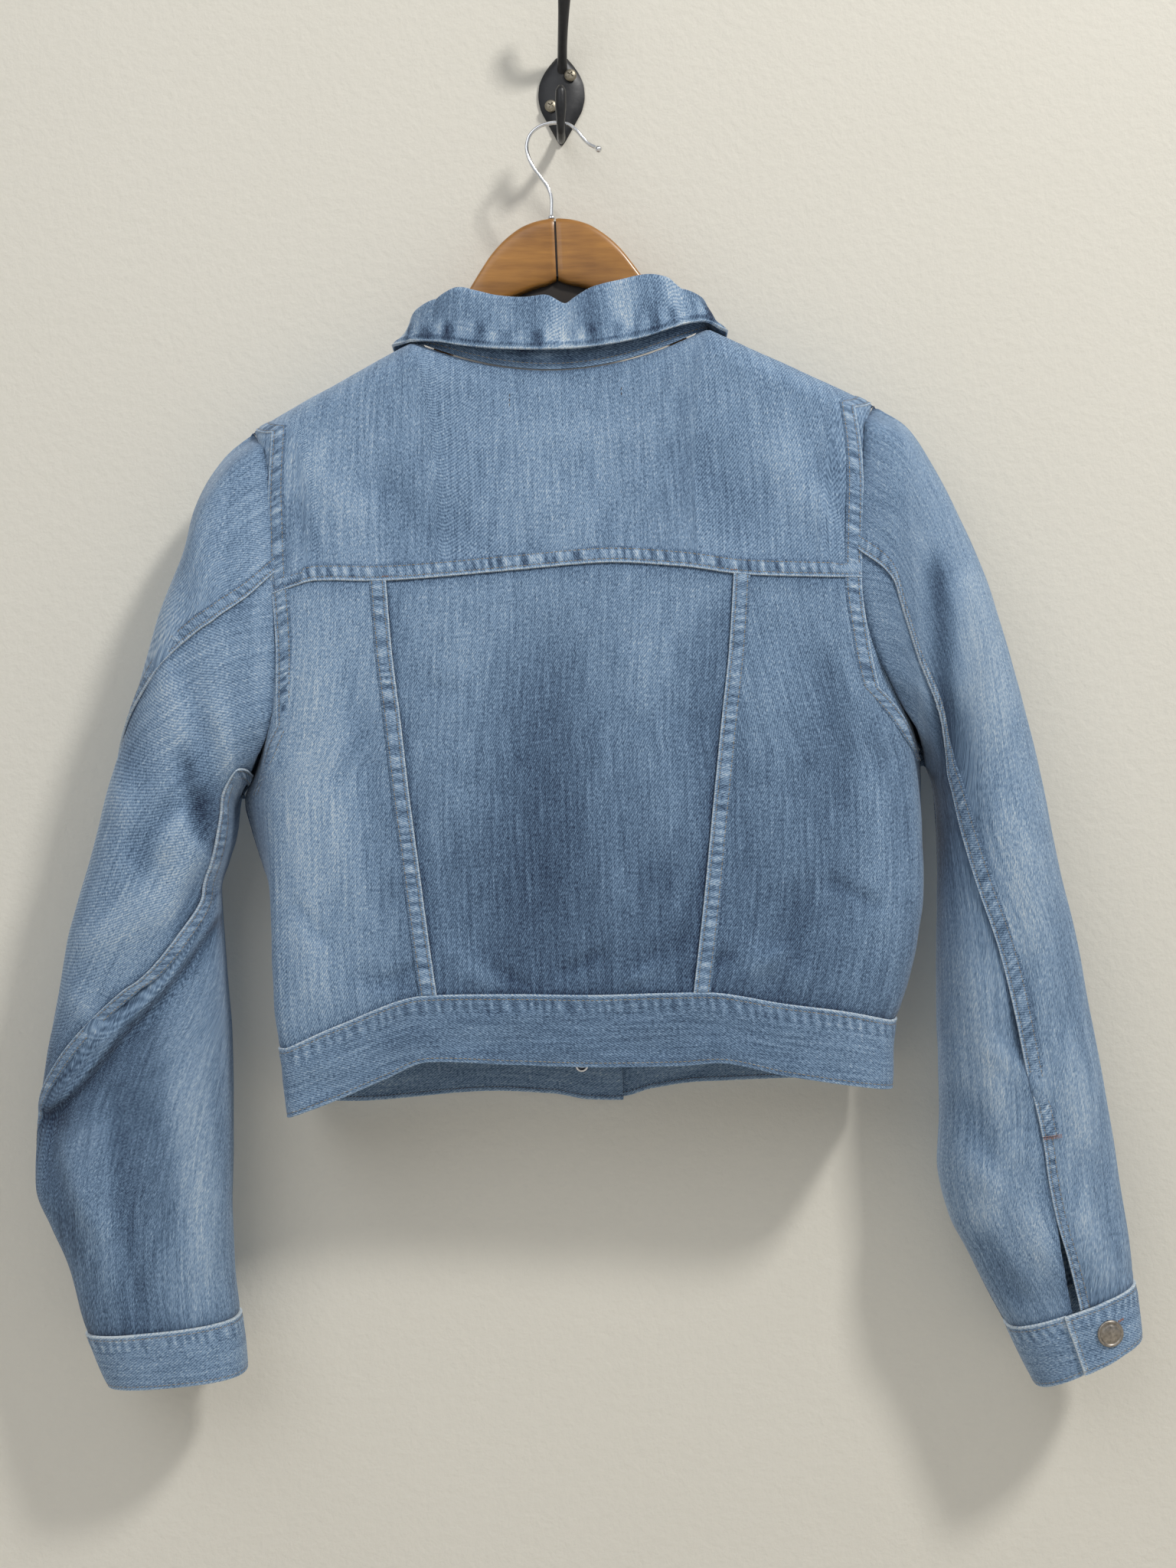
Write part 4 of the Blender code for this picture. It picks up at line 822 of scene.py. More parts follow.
def creases(*rows: tuple) -> tuple[Fold, ...]:
    """Folds from rows of numbers: x and z of both ends, half width, height and bow."""
    return tuple(Fold(row[:2], row[2:4], *row[4:]) for row in rows)


def folds(rows: Sequence[Fold], p: Array) -> Array:
    """The heights of several folds added up at points of the jacket's frame."""
    total = np.zeros(p.shape[:-1])
    for fold in rows:
        total += fold.height(p[..., 0], p[..., 2])
    return total


# ------------------------------------------------------------------ felled seams
@dataclass
class Felled:
    """A flat felled strip that runs along a seam: four layers, two rows of stitches, puckers.

    Attributes:
        name: the piece's name.
        line: parameters of the surface under the free edge, over shares along, 0 to 1.
        axis: 0 where the strip widens along the surface's first parameter, 1 for the second.
        toward: 1 or -1, the way it widens.
        surface: the surface it lies on, by its own parameters.
        out: 1 or -1, as for a sheet.
        length: about how long it is.
        wide: its width.
        seed: picks its unevenness.
        pucker: how strong the puckers are.
    """
    name: str
    line: Callable[[Array], Pair]
    axis: int
    toward: int
    surface: Surface
    out: int
    length: float
    wide: float = SEAM_WIDE
    seed: int = 1
    pucker: float = 1.0
    mirror: bool = False
    base: float = 0.0

    def spread(self, t: Array, w: Array) -> Array:
        """Points of the surface at shares t along and w across."""
        u, v = self.line(t)
        u, v = np.asarray(u, float) + 0 * t, np.asarray(v, float) + 0 * t
        tiny = 0.01 if self.axis == 0 and np.max(np.abs(u)) > 3 else 0.001
        parts = 8
        for _ in range(parts):
            du, dv = (tiny * self.toward, 0.0) if self.axis == 0 else (0.0, tiny * self.toward)
            rate = np.linalg.norm(self.surface(u + du, v + dv) - self.surface(u, v), axis=-1) / tiny
            move = w * self.wide / parts / np.maximum(rate, 1e-6) * self.toward
            u, v = (u + move, v) if self.axis == 0 else (u, v + move)
        return self.surface(u, v)

    def heights(self, g: Grid) -> Array:
        """How far the strip stands out, with its puckers between the two stitched grooves."""
        d = g.b * self.wide
        wave, window = self.puckers(g.u, d)
        flat = 0.62 + 0.3 * bell(d, 0.3, 1.1) - 0.3 * bell(d, 2.1, 0.8) - 0.28 * bell(d, 9.0, 0.8)
        flat = flat + 0.12 * bell(d, 5.5, 2.6) - 0.35 * rise(d, 9.4, self.wide)
        return self.base + flat + 0.30 * self.pucker * wave * window

    def puckers(self, run: Array, d: Array) -> Pair:
        """The wave of the puckers along the strip and where across it they show."""
        slow = swell(np.stack((run, 0 * run), axis=-1), 34, self.seed)
        quick = swell(np.stack((run, d * 0.4), axis=-1), 11, self.seed + 7)
        wave = np.sin(run * 2 * math.pi / 6.4 + 3.4 * slow + 0.16 * d) * (0.55 + 0.35 * slow) + 0.6 * quick
        return wave, np.sin(math.pi * held((d - 0.8) / 9.4)) ** 0.7

    def shades(self, g: Grid, _: Array) -> Pair:
        """Worn paleness on the free edge and, with painted highlight, on the puckers' crests; painted shade
        in the dips, the stitched grooves and at the far edge.
        """
        d = g.b * self.wide
        wave, window = self.puckers(g.u, d)
        wear = 0.80 * bell(d, 0.0, 0.7) + 0.52 * held(wave) * window * self.pucker + 0.03
        shade = 0.60 * held(-wave) * window * self.pucker + 0.34 * bell(d, 2.1, 0.7)
        shade = shade + 0.30 * bell(d, 9.2, 0.8) + 0.30 * bell(d, self.wide, 0.8)
        return held(wear), held(shade)

    def lay(self, material: Material, needle: "Needle", group: str) -> Laid:
        """Makes the strip and sews its two rows."""
        step, rows, thick = 1.35, 9, 1.5
        sheet = Sheet(self.name, self.spread, max(6, int(self.length / step)), rows, self.out, thick,
                      self.heights, self.shades, mirror=self.mirror, edge=0.3)
        laid = sheet.lay(material)
        t = np.linspace(0, 1, max(20, int(self.length / 2)))
        for row in SEAM_ROWS:
            points, normals = laid.read(t, row / self.wide)
            needle.row(group, points, normals)
        return laid


# ------------------------------------------------------------------ stitches
class Thread(Enum):
    """The thread's colour, in a maker's words, with its base colour."""
    KHAKI = (0.34, 0.285, 0.20)
    RUST = (0.42, 0.14, 0.035)
    BROWN = (0.075, 0.045, 0.03)


@dataclass
class Needle:
    """Collects stitches and makes each group of them into one piece.

    Attributes:
        pitch: from one stitch to the next.
        long: length of the thread that shows of each.
        wide: thread's width.
        groups: the rows collected, by group name.
    """
    pitch: float = 2.9
    long: float = 2.35
    wide: float = 0.46
    groups: dict[str, list] = field(default_factory=dict)

    def row(self, group: str, points: Array, normals: Array, thread: Thread = Thread.KHAKI,
            pitch: float | None = None, lift: float = 0.05) -> None:
        """Adds a row of stitches along a line.

        Args:
            group: the piece the row goes into.
            points: the line, in the jacket's frame.
            normals: the outward directions along it.
            thread: the thread's colour.
            pitch: from one stitch to the next, if not the usual one.
            lift: how far the thread's middle stands off the line.
        """
        self.groups.setdefault(f"{group}_{thread.name.lower()}", []).append(
            (np.asarray(points), np.asarray(normals), pitch or self.pitch, lift))

    def stitch_row(self, points: Array, normals: Array, pitch: float, lift: float) -> BMesh:
        """One row as small rounded threads, each a few dozen faces."""
        run = np.concatenate(([0.0], np.cumsum(np.linalg.norm(np.diff(points, axis=0), axis=1))))
        count = max(1, int(run[-1] / pitch))
        at = (np.arange(count) + 0.5) * run[-1] / count
        half = self.long / 2 * pitch / self.pitch
        centre, before, after, up = (
            np.stack([np.interp(at + d, run, src[:, i]) for i in range(3)], axis=-1)
            for src, d in ((points, 0), (points, -half), (points, half), (normals, 0)))
        origin = place(np.zeros(3))
        bm = bmesh.new()
        for c, p, q, n in zip(place(centre + up * lift), place(before), place(after), place(up) - origin):
            way = Vector(q - p)
            if way.length < 1e-6:
                continue
            length = way.length
            way.normalize()
            out = Vector(n).normalized()
            side = way.cross(out).normalized()
            out = side.cross(way)
            size = self.wide / 2 * MM
            turn = Matrix((side * size, out * size * 0.8, way * length / 2)).transposed().to_4x4()
            bmesh.ops.create_uvsphere(bm, u_segments=5, v_segments=4, radius=1.0,
                                      matrix=Matrix.Translation(Vector(c)) @ turn)
        return bm

    def make(self, materials: dict[str, Material]) -> list[Thing]:
        """Makes one piece of each group."""
        made = []
        for group, rows in self.groups.items():
            whole = bmesh.new()
            for row in rows:
                absorb(whole, self.stitch_row(*row))
            piece = finished(f"stitches_{group}", whole, materials[group.rsplit("_", 1)[1]])
            made.append(piece)
        return made


def finished(name: str, bm: BMesh, material: Material, sharp: float = 40.0) -> Thing:
    """Turns a finished bmesh into an object that rides on the body.

    Args:
        name: the piece's name.
        bm: its mesh, in metres in the plate's frame; it is freed.
        material: its finish.
        sharp: edges that turn more than this, in degrees, stay sharp.
    Returns:
        The object.
    """
    mesh = to_mesh(name, bm)
    mesh.materials.append(material)
    mesh.shade_smooth()
    mesh.set_sharp_from_angle(angle=math.radians(sharp))
    piece = linked(name, mesh)
    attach(piece, BODY)
    return piece


# ------------------------------------------------------------------ shader writing
class Socket:
    """A node's output whose arithmetic adds Math nodes."""

    def __init__(self, shader: "Shader", link: bpy.types.NodeSocket) -> None:
        """Wraps a node's output."""
        self.shader = shader
        self.link = link

    def math(self, operation: str, *values: "Socket | float") -> "Socket":
        """One Math node on this socket and the other values."""
        return self.shader.node("ShaderNodeMath", {"operation": operation},
                                dict(enumerate((self,) + values)))

    def __add__(self, other: "Socket | float") -> "Socket":
        """Sum."""
        return self.math("ADD", other)

    __radd__ = __add__

    def __sub__(self, other: "Socket | float") -> "Socket":
        """Difference."""
        return self.math("SUBTRACT", other)

    def __rsub__(self, other: float) -> "Socket":
        """Difference from a number."""
        return self.shader.node("ShaderNodeMath", {"operation": "SUBTRACT"}, {0: other, 1: self})

    def __mul__(self, other: "Socket | float") -> "Socket":
        """Product."""
        return self.math("MULTIPLY", other)

    __rmul__ = __mul__

    def sine(self) -> "Socket":
        """Sine of a value in radians."""
        return self.math("SINE")

    def held(self) -> "Socket":
        """The value kept between 0 and 1."""
        return self.shader.node("ShaderNodeClamp", {}, {0: self})


class Shader:
    """A material in the making."""

    def __init__(self, name: str) -> None:
        """Starts a material with a Principled shader and its output."""
        self.material = bpy.data.materials.new(name)
        self.material.use_nodes = True
        self.tree = self.material.node_tree
        self.main = self.tree.nodes["Principled BSDF"]

    def node(self, kind: str, settings: dict | None = None, sockets: dict | None = None,
             out: int | str = 0) -> Socket:
        """Adds a node.

        Args:
            kind: the node's type.
            settings: its properties; "stops" is a ramp's list of places and colours.
            sockets: values or links of its inputs, by index or name.
            out: which output is used.
        Returns:
            The output.
        """
        node = self.tree.nodes.new(kind)
        for key, value in (settings or {}).items():
            if key == "stops":
                ramp = node.color_ramp
                while len(ramp.elements) < len(value):
                    ramp.elements.new(0.5)
                for element, (place_at, colour) in zip(ramp.elements, value):
                    element.position = place_at
                    element.color = (*colour, 1.0)
            else:
                setattr(node, key, value)
        for key, value in (sockets or {}).items():
            self.put(node, key, value)
        return Socket(self, node.outputs[out])

    def put(self, node: bpy.types.Node, key: int | str, value: object) -> None:
        """Sets one input of a node to a number, a colour or a link."""
        if isinstance(value, Socket):
            self.tree.links.new(value.link, node.inputs[key])
        elif isinstance(value, tuple) and len(value) == 3 and node.inputs[key].type == "RGBA":
            node.inputs[key].default_value = (*value, 1.0)
        else:
            node.inputs[key].default_value = value

    def mix(self, share: Socket | float, a: object, b: object, blend: str = "MIX") -> Socket:
        """A colour mixed from two."""
        return self.node("ShaderNodeMix", {"data_type": "RGBA", "blend_type": blend},
                         {0: share, 6: a, 7: b}, 2)

    def noise(self, vector: Socket, scale: float, detail: float = 2.0, rough: float = 0.5) -> Socket:
        """Noise from 0 to 1."""
        return self.node("ShaderNodeTexNoise", {}, {"Vector": vector, "Scale": scale, "Detail": detail,
                                                    "Roughness": rough}, "Fac")

    def stretched(self, vector: Socket, scale: tuple, turn: float = 0.0) -> Socket:
        """Coordinates scaled along each axis, turned about the third."""
        return self.node("ShaderNodeMapping", {}, {"Vector": vector, "Scale": scale,
                                                   "Rotation": (0.0, 0.0, turn)})

    def spot(self) -> Socket:
        """Object coordinates."""
        return self.node("ShaderNodeTexCoord", {}, {}, "Object")

    def attribute(self, name: str) -> Socket:
        """A number stored on the mesh."""
        return self.node("ShaderNodeAttribute", {"attribute_name": name}, {}, "Fac")

    def ramp(self, value: Socket, stops: list) -> Socket:
        """A colour ramp read at a value."""
        return self.node("ShaderNodeValToRGB", {"stops": stops}, {0: value})

    def bump(self, height: Socket, strength: float, distance: float) -> Socket:
        """A bumped normal."""
        return self.node("ShaderNodeBump", {}, {"Height": height, "Strength": strength,
                                                "Distance": distance})

    def dress(self, **values: object) -> Material:
        """Sets the Principled shader's inputs; a name's underscores stand for spaces."""
        for key, value in values.items():
            self.put(self.main, key.replace("_", " "), value)
        return self.material


@dataclass(frozen=True)
class Denim:
    """Washed light blue twill.

    Attributes:
        name: the material's name.
        deep: colour at the dark end, reached where painted shade lies in dips and grooves.
        mid: colour of the flat cloth.
        pale: colour of the faded threads.
        bare: colour of the most worn edges and of the brightest painted highlights on ridges.
        twill: width of one diagonal line, in metres.
    """
    name: str
    deep: tuple = (0.014, 0.026, 0.058)
    mid: tuple = (0.077, 0.129, 0.208)
    pale: tuple = (0.207, 0.307, 0.442)
    bare: tuple = (0.52, 0.575, 0.605)
    twill: float = 0.00125
    contrast: float = 1.0

    def make(self) -> Material:
        """Builds the material from the cloth's own coordinates, its worn paleness with painted highlight and
        its painted shade.
        """
        s = Shader(self.name)
        cloth = s.node("ShaderNodeUVMap", {"uv_map": "cloth"})
        parts = s.node("ShaderNodeSeparateXYZ", {}, {0: cloth})
        weft, warp = parts, Socket(s, parts.link.node.outputs[1])
        lean = math.radians(58)
        rate = 2 * math.pi / self.twill
        wander = s.noise(s.stretched(cloth, (300, 60, 1)), 1.0, 2.0)
        phase = weft * (rate * math.sin(lean)) + warp * (rate * math.cos(lean)) + wander * 2.5
        line = phase.sine() * 0.5 + 0.5
        thread = s.noise(s.stretched(cloth, (1000, 520, 1)), 1.0, 2.0, 0.75)
        slub = s.noise(s.stretched(cloth, (430, 22, 1)), 1.0, 3.0, 0.70)
        cloud = s.noise(s.stretched(cloth, (70, 60, 1)), 1.0, 5.0, 0.68)
        patch = s.noise(s.spot(), 9.0, 3.0, 0.55)
        wear, shade = s.attribute("wear"), s.attribute("shade")
        tone = (0.53 + (line - 0.5) * (0.20 * self.contrast) + (thread - 0.5) * (1.25 * self.contrast)
                + (slub - 0.5) * (0.62 * self.contrast) + (cloud - 0.5) * 0.24 + (patch - 0.5) * 0.08)
        # Worn paleness with painted highlight lightens the cloth; painted shade darkens it towards the deep
        # colour.
        tone = (tone + wear * 0.42 - shade * 0.46).held()
        colour = s.ramp(tone, [(0.0, self.deep), (0.34, self.mid), (0.66, self.pale), (1.0, self.bare)])
        height = line * 0.6 + thread * 0.8 + slub * 0.5
        return s.dress(Base_Color=colour, Roughness=0.93, Sheen_Weight=0.12, Sheen_Roughness=0.5,
                       Specular_IOR_Level=0.25, Normal=s.bump(height, 0.55, 0.00035))


@dataclass(frozen=True)
class Plain:
    """A finish of one substance with grain and unevenness.

    Attributes:
        name: the material's name.
        dark: its darker colour.
        light: its lighter colour.
        rough: roughness of the clean surface.
        metal: metallic value.
        grain: scale of the unevenness along each axis.
        bumpy: bump distance in metres.
        coat: weight of a clear coat.
        uneven: how much the roughness varies.
    """
    name: str
    dark: tuple
    light: tuple
    rough: float = 0.4
    metal: float = 0.0
    grain: tuple = (300.0, 300.0, 300.0)
    bumpy: float = 0.00005
    coat: float = 0.0
    uneven: float = 0.15

    def make(self) -> Material:
        """Builds the material from Object coordinates."""
        s = Shader(self.name)
        fine = s.noise(s.stretched(s.spot(), self.grain), 1.0, 4.0, 0.6)
        broad = s.noise(s.spot(), 40.0, 2.0)
        share = (fine * 1.5 - 0.5 + broad - 0.25).held()
        colour = s.mix(share, self.dark, self.light)
        return s.dress(Base_Color=colour, Roughness=(fine - 0.5) * self.uneven + self.rough,
                       Metallic=self.metal, Coat_Weight=self.coat, Coat_Roughness=0.18,
                       Normal=s.bump(fine, 0.4, self.bumpy))


# ------------------------------------------------------------------ the workshop
@dataclass
class Shop:
    """What every class needs to dress its pieces.

    Attributes:
        finish: materials by name.
        needle: where stitches are collected.
    """
    finish: dict[str, Material]
    needle: Needle

    def cloth(self, sheet: Sheet, node: str | Sequence[str] = (), extras: Sequence[Laid] = (),
              rests: Sequence[str] = ("hanger_left", "hanger_right")) -> Laid:
        laid = sheet.lay(self.finish["denim"])
        self.join_body(laid.piece)
        nodes = [node] if isinstance(node, str) else list(node)
        if nodes:
            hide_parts(*nodes)
        wide, long, area = laid.flat()
        LOG.info("%s: %.3f x %.3f m, %.4f square metres", sheet.name, wide, long, area)
        return laid

    def seam(self, felled: Felled, group: str) -> Laid:
        """Lays a felled seam and sews it."""
        laid = felled.lay(self.finish["denim"], self.needle, group)
        self.join_body(laid.piece)
        return laid

    def sew(self, *row: object) -> None:
        """Adds a row of stitches."""
        self.needle.row(*row)

    def join_body(self, piece: Thing) -> None:
        """Rides a cloth piece on the body."""
        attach(piece, BODY)


def softly(rows: Sequence[Fold], seed: int, rough: float = 0.5, pitch: float = 60.0,
           stretch: tuple = (1, 1, 2.2)) -> Callable[..., Array]:
    """A relief of the given folds, broad swells and small dents that fade at the sheet's rim."""
    def relief(g: Grid) -> Array:
        """Height of the cloth over its plain form."""
        p, rim = g.p, g.rim
        inside = rise(rim, 0, 14)
        height = folds(rows, p) * rise(rim, 0, 9)
        height += inside * rough * (0.9 * swell(p, pitch, seed, stretch) + 0.35 * swell(p, 24, seed + 1))
        ripple = np.sin(2 * math.pi * (g.u + g.v) / 8.5 + 2.5 * swell(p, 40, seed + 2))
        return height + 0.16 * ripple * np.exp(-((rim - 4.5) / 4.5) ** 2) - 0.35 * bell(rim, 0, 2.2)
    return relief


def worn_and_painted_shading(rows: Sequence[Fold], edges: float = 0.5) -> Callable[..., tuple]:
    """Worn pale patches near the rim, painted highlight on the folds' ridges, painted shade in their troughs
    and along the sheet's rim.
    """
    def tones(g: Grid, _: Array) -> Pair:
        """Worn paleness with painted highlight, and painted shade."""
        p, rim = g.p, g.rim
        lump = folds(rows, p)
        # Worn pale patches near the rim and painted highlight on the folds' ridges; painted shade in the
        # troughs and along the rim where seams meet.
        pale = np.clip(swell(p, 30, 5, (1, 1, 2)), 0, 1) * bell(rim, 9, 6)
        wear = 0.16 * np.clip(lump, 0, 1.5) + 0.12 * pale
        shade = 0.16 * np.clip(-lump, 0, 1.8) + edges * bell(rim, 0, 2.6) + 0.12 * bell(rim, 6, 5)
        return held(wear), np.clip(shade + darker_places_and_painted_shadow(p), -1, 1)
    return tones


def darker_places_and_painted_shadow(p: Array) -> Array:
    """How much darker than the yoke each place is: most towards the low middle of the back, some on the right
    flank and the lower sleeves, less on the left flank and the sleeves, and a painted shadow in the recess
    beside the right armhole.
    """
    x, drop = p[..., 0], -p[..., 2]
    middle = 0.52 * rise(drop, 120, 320) * np.exp(-(np.abs(x - 15) / 125) ** 4)
    flank = 0.26 * rise(drop, 140, 300) * rise(x, 90, 140) * (1 - rise(x, 205, 215))
    forearm = 0.40 * rise(drop, 360, 430) * (1 - rise(x, -300, -250)) * (x < 0)
    forearm = forearm + 0.1 * rise(drop, 560, 600)
    # Painted shadow in the recess between the right sleeve and the body.
    painted_armhole_shadow = 0.9 * bell(x, 231, 8) * rise(drop, 120, 150) * (1 - rise(drop, 300, 380))
    sleeve = np.abs(x) > 215
    total = middle + flank + forearm * sleeve + painted_armhole_shadow
    return total - 0.12 * (x < -120) * (x > -200) - 0.13 * sleeve


BACK_FOLDS = creases(
    (-160, -160, -150, -330, 16, 1.6, 6), (-140, -190, -128, -350, 9, -1.2, -5),
    (-178, -230, -172, -400, 11, 1.6), (-60, -150, -76, -300, 22, 1.4, 8),
    (-20, -170, -40, -380, 24, -1.3, -8), (45, -150, 60, -320, 20, 1.7, 6), (10, -210, 22, -370, 14, 1.1),
    (88, -160, 70, -250, 10, -1.2), (120, -190, 132, -340, 16, 1.8, 5), (152, -180, 168, -300, 9, -1.5, -4),
    (178, -250, 190, -390, 12, 1.7), (140, -330, 120, -400, 9, -1.1), (-150, -380, -100, -388, 7, -1.2),
    (30, -385, 70, -360, 8, -1.0), (-90, -360, -60, -392, 9, 1.3), (95, -370, 140, -395, 8, 1.2),
    (-60, -376, -34, -392, 4, -1.5), (-20, -384, 14, -370, 5, -1.6), (22, -392, 48, -378, 4, 1.5),
    (60, -390, 90, -374, 4, -1.6), (-130, -386, -104, -372, 4, -1.5), (100, -388, 128, -372, 5, 1.6),
    (150, -330, 186, -352, 5, -1.4), (-182, -330, -160, -360, 5, -1.4), (-96, -200, -70, -206, 6, -0.8),
    (70, -220, 30, -232, 7, -0.9))
YOKE_FOLDS = creases(
    (-170, -40, -120, -100, 14, 1.2, 4), (-130, -60, -60, -112, 18, -1.2, 6), (-40, -60, 20, -118, 22, 1.0),
    (60, -50, 120, -110, 20, -1.3, -6), (130, -40, 165, -110, 13, 1.6, 4), (-60, -40, 60, -46, 14, 0.9),
    (160, -60, 178, -120, 7, -1.1), (-176, -70, -160, -126, 8, -1.2))
FRONT_FOLDS = creases(
    (-150, -80, -120, -260, 18, 1.4, 6), (-90, -150, -80, -390, 16, -1.2, -5),
    (-60, -120, -44, -300, 12, 1.3), (150, -90, 128, -250, 18, 1.5, -6), (96, -150, 84, -380, 15, -1.3, 5),
    (60, -110, 50, -310, 12, 1.2), (170, -260, 150, -400, 12, 1.4), (-172, -260, -160, -400, 12, 1.3))


@dataclass
class Torso:
    """The yoke, the back and front panels, the closing strips and the seams that join them."""
    shop: Shop
    fine: float = 2.5

    def panel(self, name: str, zone: Zone, node: str, ends: tuple, wide: float, long: float,
              rows: Sequence[Fold], seed: int, extras: Sequence[Laid] = (), power: float = 1.0,
              under: float = 0.0) -> Laid:
        """One body panel between two lines that are functions of the row.

        Args:
            name: the piece's name.
            zone: the level of the body it belongs to.
            node: the CAD node it stands for.
            ends: two functions of v that give the share across at both edges.
            wide, long: about its size.
            rows: its folds.
            seed: picks its unevenness.
            extras: strips that lie on it; not used.
            power: how much the rows crowd towards the top.
            under: how far the whole panel lies below the surface.
        Returns:
            The laid sheet.
        """
        def surface(a: Array, b: Array) -> Array:
            """The panel over its shares."""
            v = b ** power
            return zone.point(lerp(ends[0](v), ends[1](v), a), v)
        base = softly(rows, seed)

        def relief(g: Grid) -> Array:
            """Relief, lowered where the panel lies under its neighbours."""
            return base(g) - under
        sheet = Sheet(name, surface, int(wide / self.fine), int(long / self.fine), -1, CLOTH, relief,
                      worn_and_painted_shading(rows))
        return self.shop.cloth(sheet, node, extras)

    def edge_strip(self, name: str, zone: Zone, side: int, start: float, end: float, seed: int) -> Laid:
        """The felled strip inside the armhole, along the panel's edge between two rows."""
        def path(t: Array) -> Pair:
            """The line where the panel turns to the flat, a little outside it."""
            v = lerp(start, end, t) ** (1.3 if start == 0 else 1)
            _, fold, _, _, depth = zone.sizes(side, v)
            return side * (1 - np.clip(depth - 3.4, 0.1, 18) / (fold + depth)), v
        long = abs(zone.level(side, end) - zone.level(side, start)) * 1.15
        out = (-1 if zone.back else 1) * side
        return self.shop.seam(Felled(name, path, 0, -side, zone.point, out, float(long), seed=seed),
                              "armholes")

    def princess(self, side: int) -> Laid:
        """The felled strip of a lengthwise back seam, on the outer panel."""
        tab = SEAM_LEFT if side < 0 else SEAM_RIGHT
        start, end = tab["drop"][0], tab["drop"][-1]
        path = lambda t: (side * BACK.share(side, along(tab, "drop", "x", lerp(start, end, t)), t), t)
        return self.shop.seam(Felled(f"back_seam_{tag(side)}", path, 0, side, BACK.point, side, 268,
                                     seed=11 + side, base=0.15), "back")

    def yoke_seam(self) -> Laid:
        """The felled strip along the yoke's lower edge."""
        path = lambda t: (lerp(-0.998, 0.998, t), np.full_like(t, 0.9995))
        return self.shop.seam(Felled("yoke_seam", path, 1, -1, YOKE.point, 1, 412, seed=3, pucker=1.15,
                                     base=0.2), "back")

    def closing_strip(self, side: int) -> None:
        """One of the strips on the front's middle, stitched along both edges."""
        def surface(a: Array, b: Array) -> Array:
            """The strip over its shares."""
            x = lerp(-1, 1, a) * (OVERLAP - 0.3)
            z = lerp(top_front(np.abs(x)), BAND_FRONT.top(x), b)
            return np.stack((x, front_depth(side * OVERLAP + 0 * x, z, side), z), axis=-1)
        name = f"closing_strip_{tag(side)}"
        # Worn pale edges, and painted shade along the stitched groove.
        rim = lambda g, _: (bell(g.ends, 0, 0.03) * 0.9, 0.3 * bell(g.ends, 0.09, 0.02))
        bumps = lambda g: 0.15 * swell(g.p, 18, 21 + side) - 0.2 * bell(g.ends, 0.09, 0.03)
        laid = self.shop.cloth(Sheet(name, surface, 24, 160, 1, 1.2, bumps, rim), f"placket_{tag(side)}")
        if side > 0:
            t = np.linspace(0, 1, 200)
            for a in (0.09, 0.91):
                self.shop.sew("front", *laid.read(a, t))

    def build(self) -> None:
        """Makes the body's pieces."""
        strips = [self.yoke_seam()]
        for side in (-1, 1):
            strips.append(self.edge_strip(f"armhole_yoke_{tag(side)}", YOKE, side, 0.0, 1.0, 31 + side))
        yoke = self.panel("yoke", YOKE, "back_yoke", (lambda v: 0 * v - 1, lambda v: 0 * v + 1), 440, 165,
                          YOKE_FOLDS, 1, strips, 1.5)
        for x, start, end in ((-33.5, -14.0, -23.5), (38.0, -12.6, -19.5)):
            marks = [(x + 0.04 * (z - start), z) for z in np.linspace(start, end, 8)]
            self.shop.sew("yoke", *yoke.near(marks), Thread.BROWN)
        for x, z in ((-187, -137), (184, -142), (-116, -131.5), (103, -137)):
            bar = [(x + d, z + 1.5) for d in np.linspace(-2.2, 2.2, 6)]
            self.shop.sew("yoke", *yoke.near(bar, 1.3), Thread.RUST, 1.1)
        left = lambda v: -BACK.share(-1, along(SEAM_LEFT, "drop", "x", lerp(133, 394, v)), v)
        right = lambda v: BACK.share(1, along(SEAM_RIGHT, "drop", "x", lerp(139, 397, v)), v)
        for side, inner, wide in ((-1, left, 125), (1, right, 150)):
            bottom = (ARMPIT[side] - YOKE_END[side]) / (WAIST_END - YOKE_END[side])
            hole = self.edge_strip(f"armhole_back_{tag(side)}", BACK, side, 0.001, bottom, 41 + side)
            rim = lambda v, s=side: 0 * v + s
            ends = (rim, inner) if side < 0 else (inner, rim)
            self.panel(f"side_back_{tag(side)}", BACK, f"back_side_{tag(side)}", ends, wide, 285,
                       BACK_FOLDS, 6 + side, [hole, self.princess(side)])
        self.panel("middle_back", BACK, "back_centre", (left, right), 210, 275, BACK_FOLDS, 9, under=0.35)
        for side in (-1, 1):
            mid = lambda v, s=side: s * FRONT.share(s, np.full_like(v, OVERLAP), v)
            rim = lambda v, s=side: 0 * v + s
            bottom = (ARMPIT[side] - SHOULDER_DROP) / (WAIST_END - SHOULDER_DROP)
            hole = self.edge_strip(f"armhole_front_{tag(side)}", FRONT, side, 0.0, bottom, 51 + side)
            ends = (rim, mid) if side < 0 else (mid, rim)

            def surface(a: Array, b: Array, ends: tuple = ends) -> Array:
                """The front over its shares."""
                v = b ** 1.5
                return FRONT.point(lerp(ends[0](v), ends[1](v), a), v)
            sheet = Sheet(f"front_panel_{tag(side)}", surface, 71, 130, 1, CLOTH,
                          softly(FRONT_FOLDS, 15 + side), worn_and_painted_shading(FRONT_FOLDS))
            self.shop.cloth(sheet, f"front_{tag(side)}", [hole])
            self.closing_strip(side)
        for side in (-1, 1):
            inner = FRONT.share(side, np.array(NECK_HALF + 2), np.array(0.0))
            ridge = lambda t, s=side, start=inner: (s * lerp(start, 0.985, t), np.full_like(t, 0.0002))
            self.shop.seam(Felled(f"shoulder_seam_{tag(side)}", ridge, 1, 1, FRONT.point, side, 105,
                                  seed=61 + side, wide=9.8), "shoulders")


def tag(side: int) -> str:
    """The name of a side."""
    return "left" if side < 0 else "right"


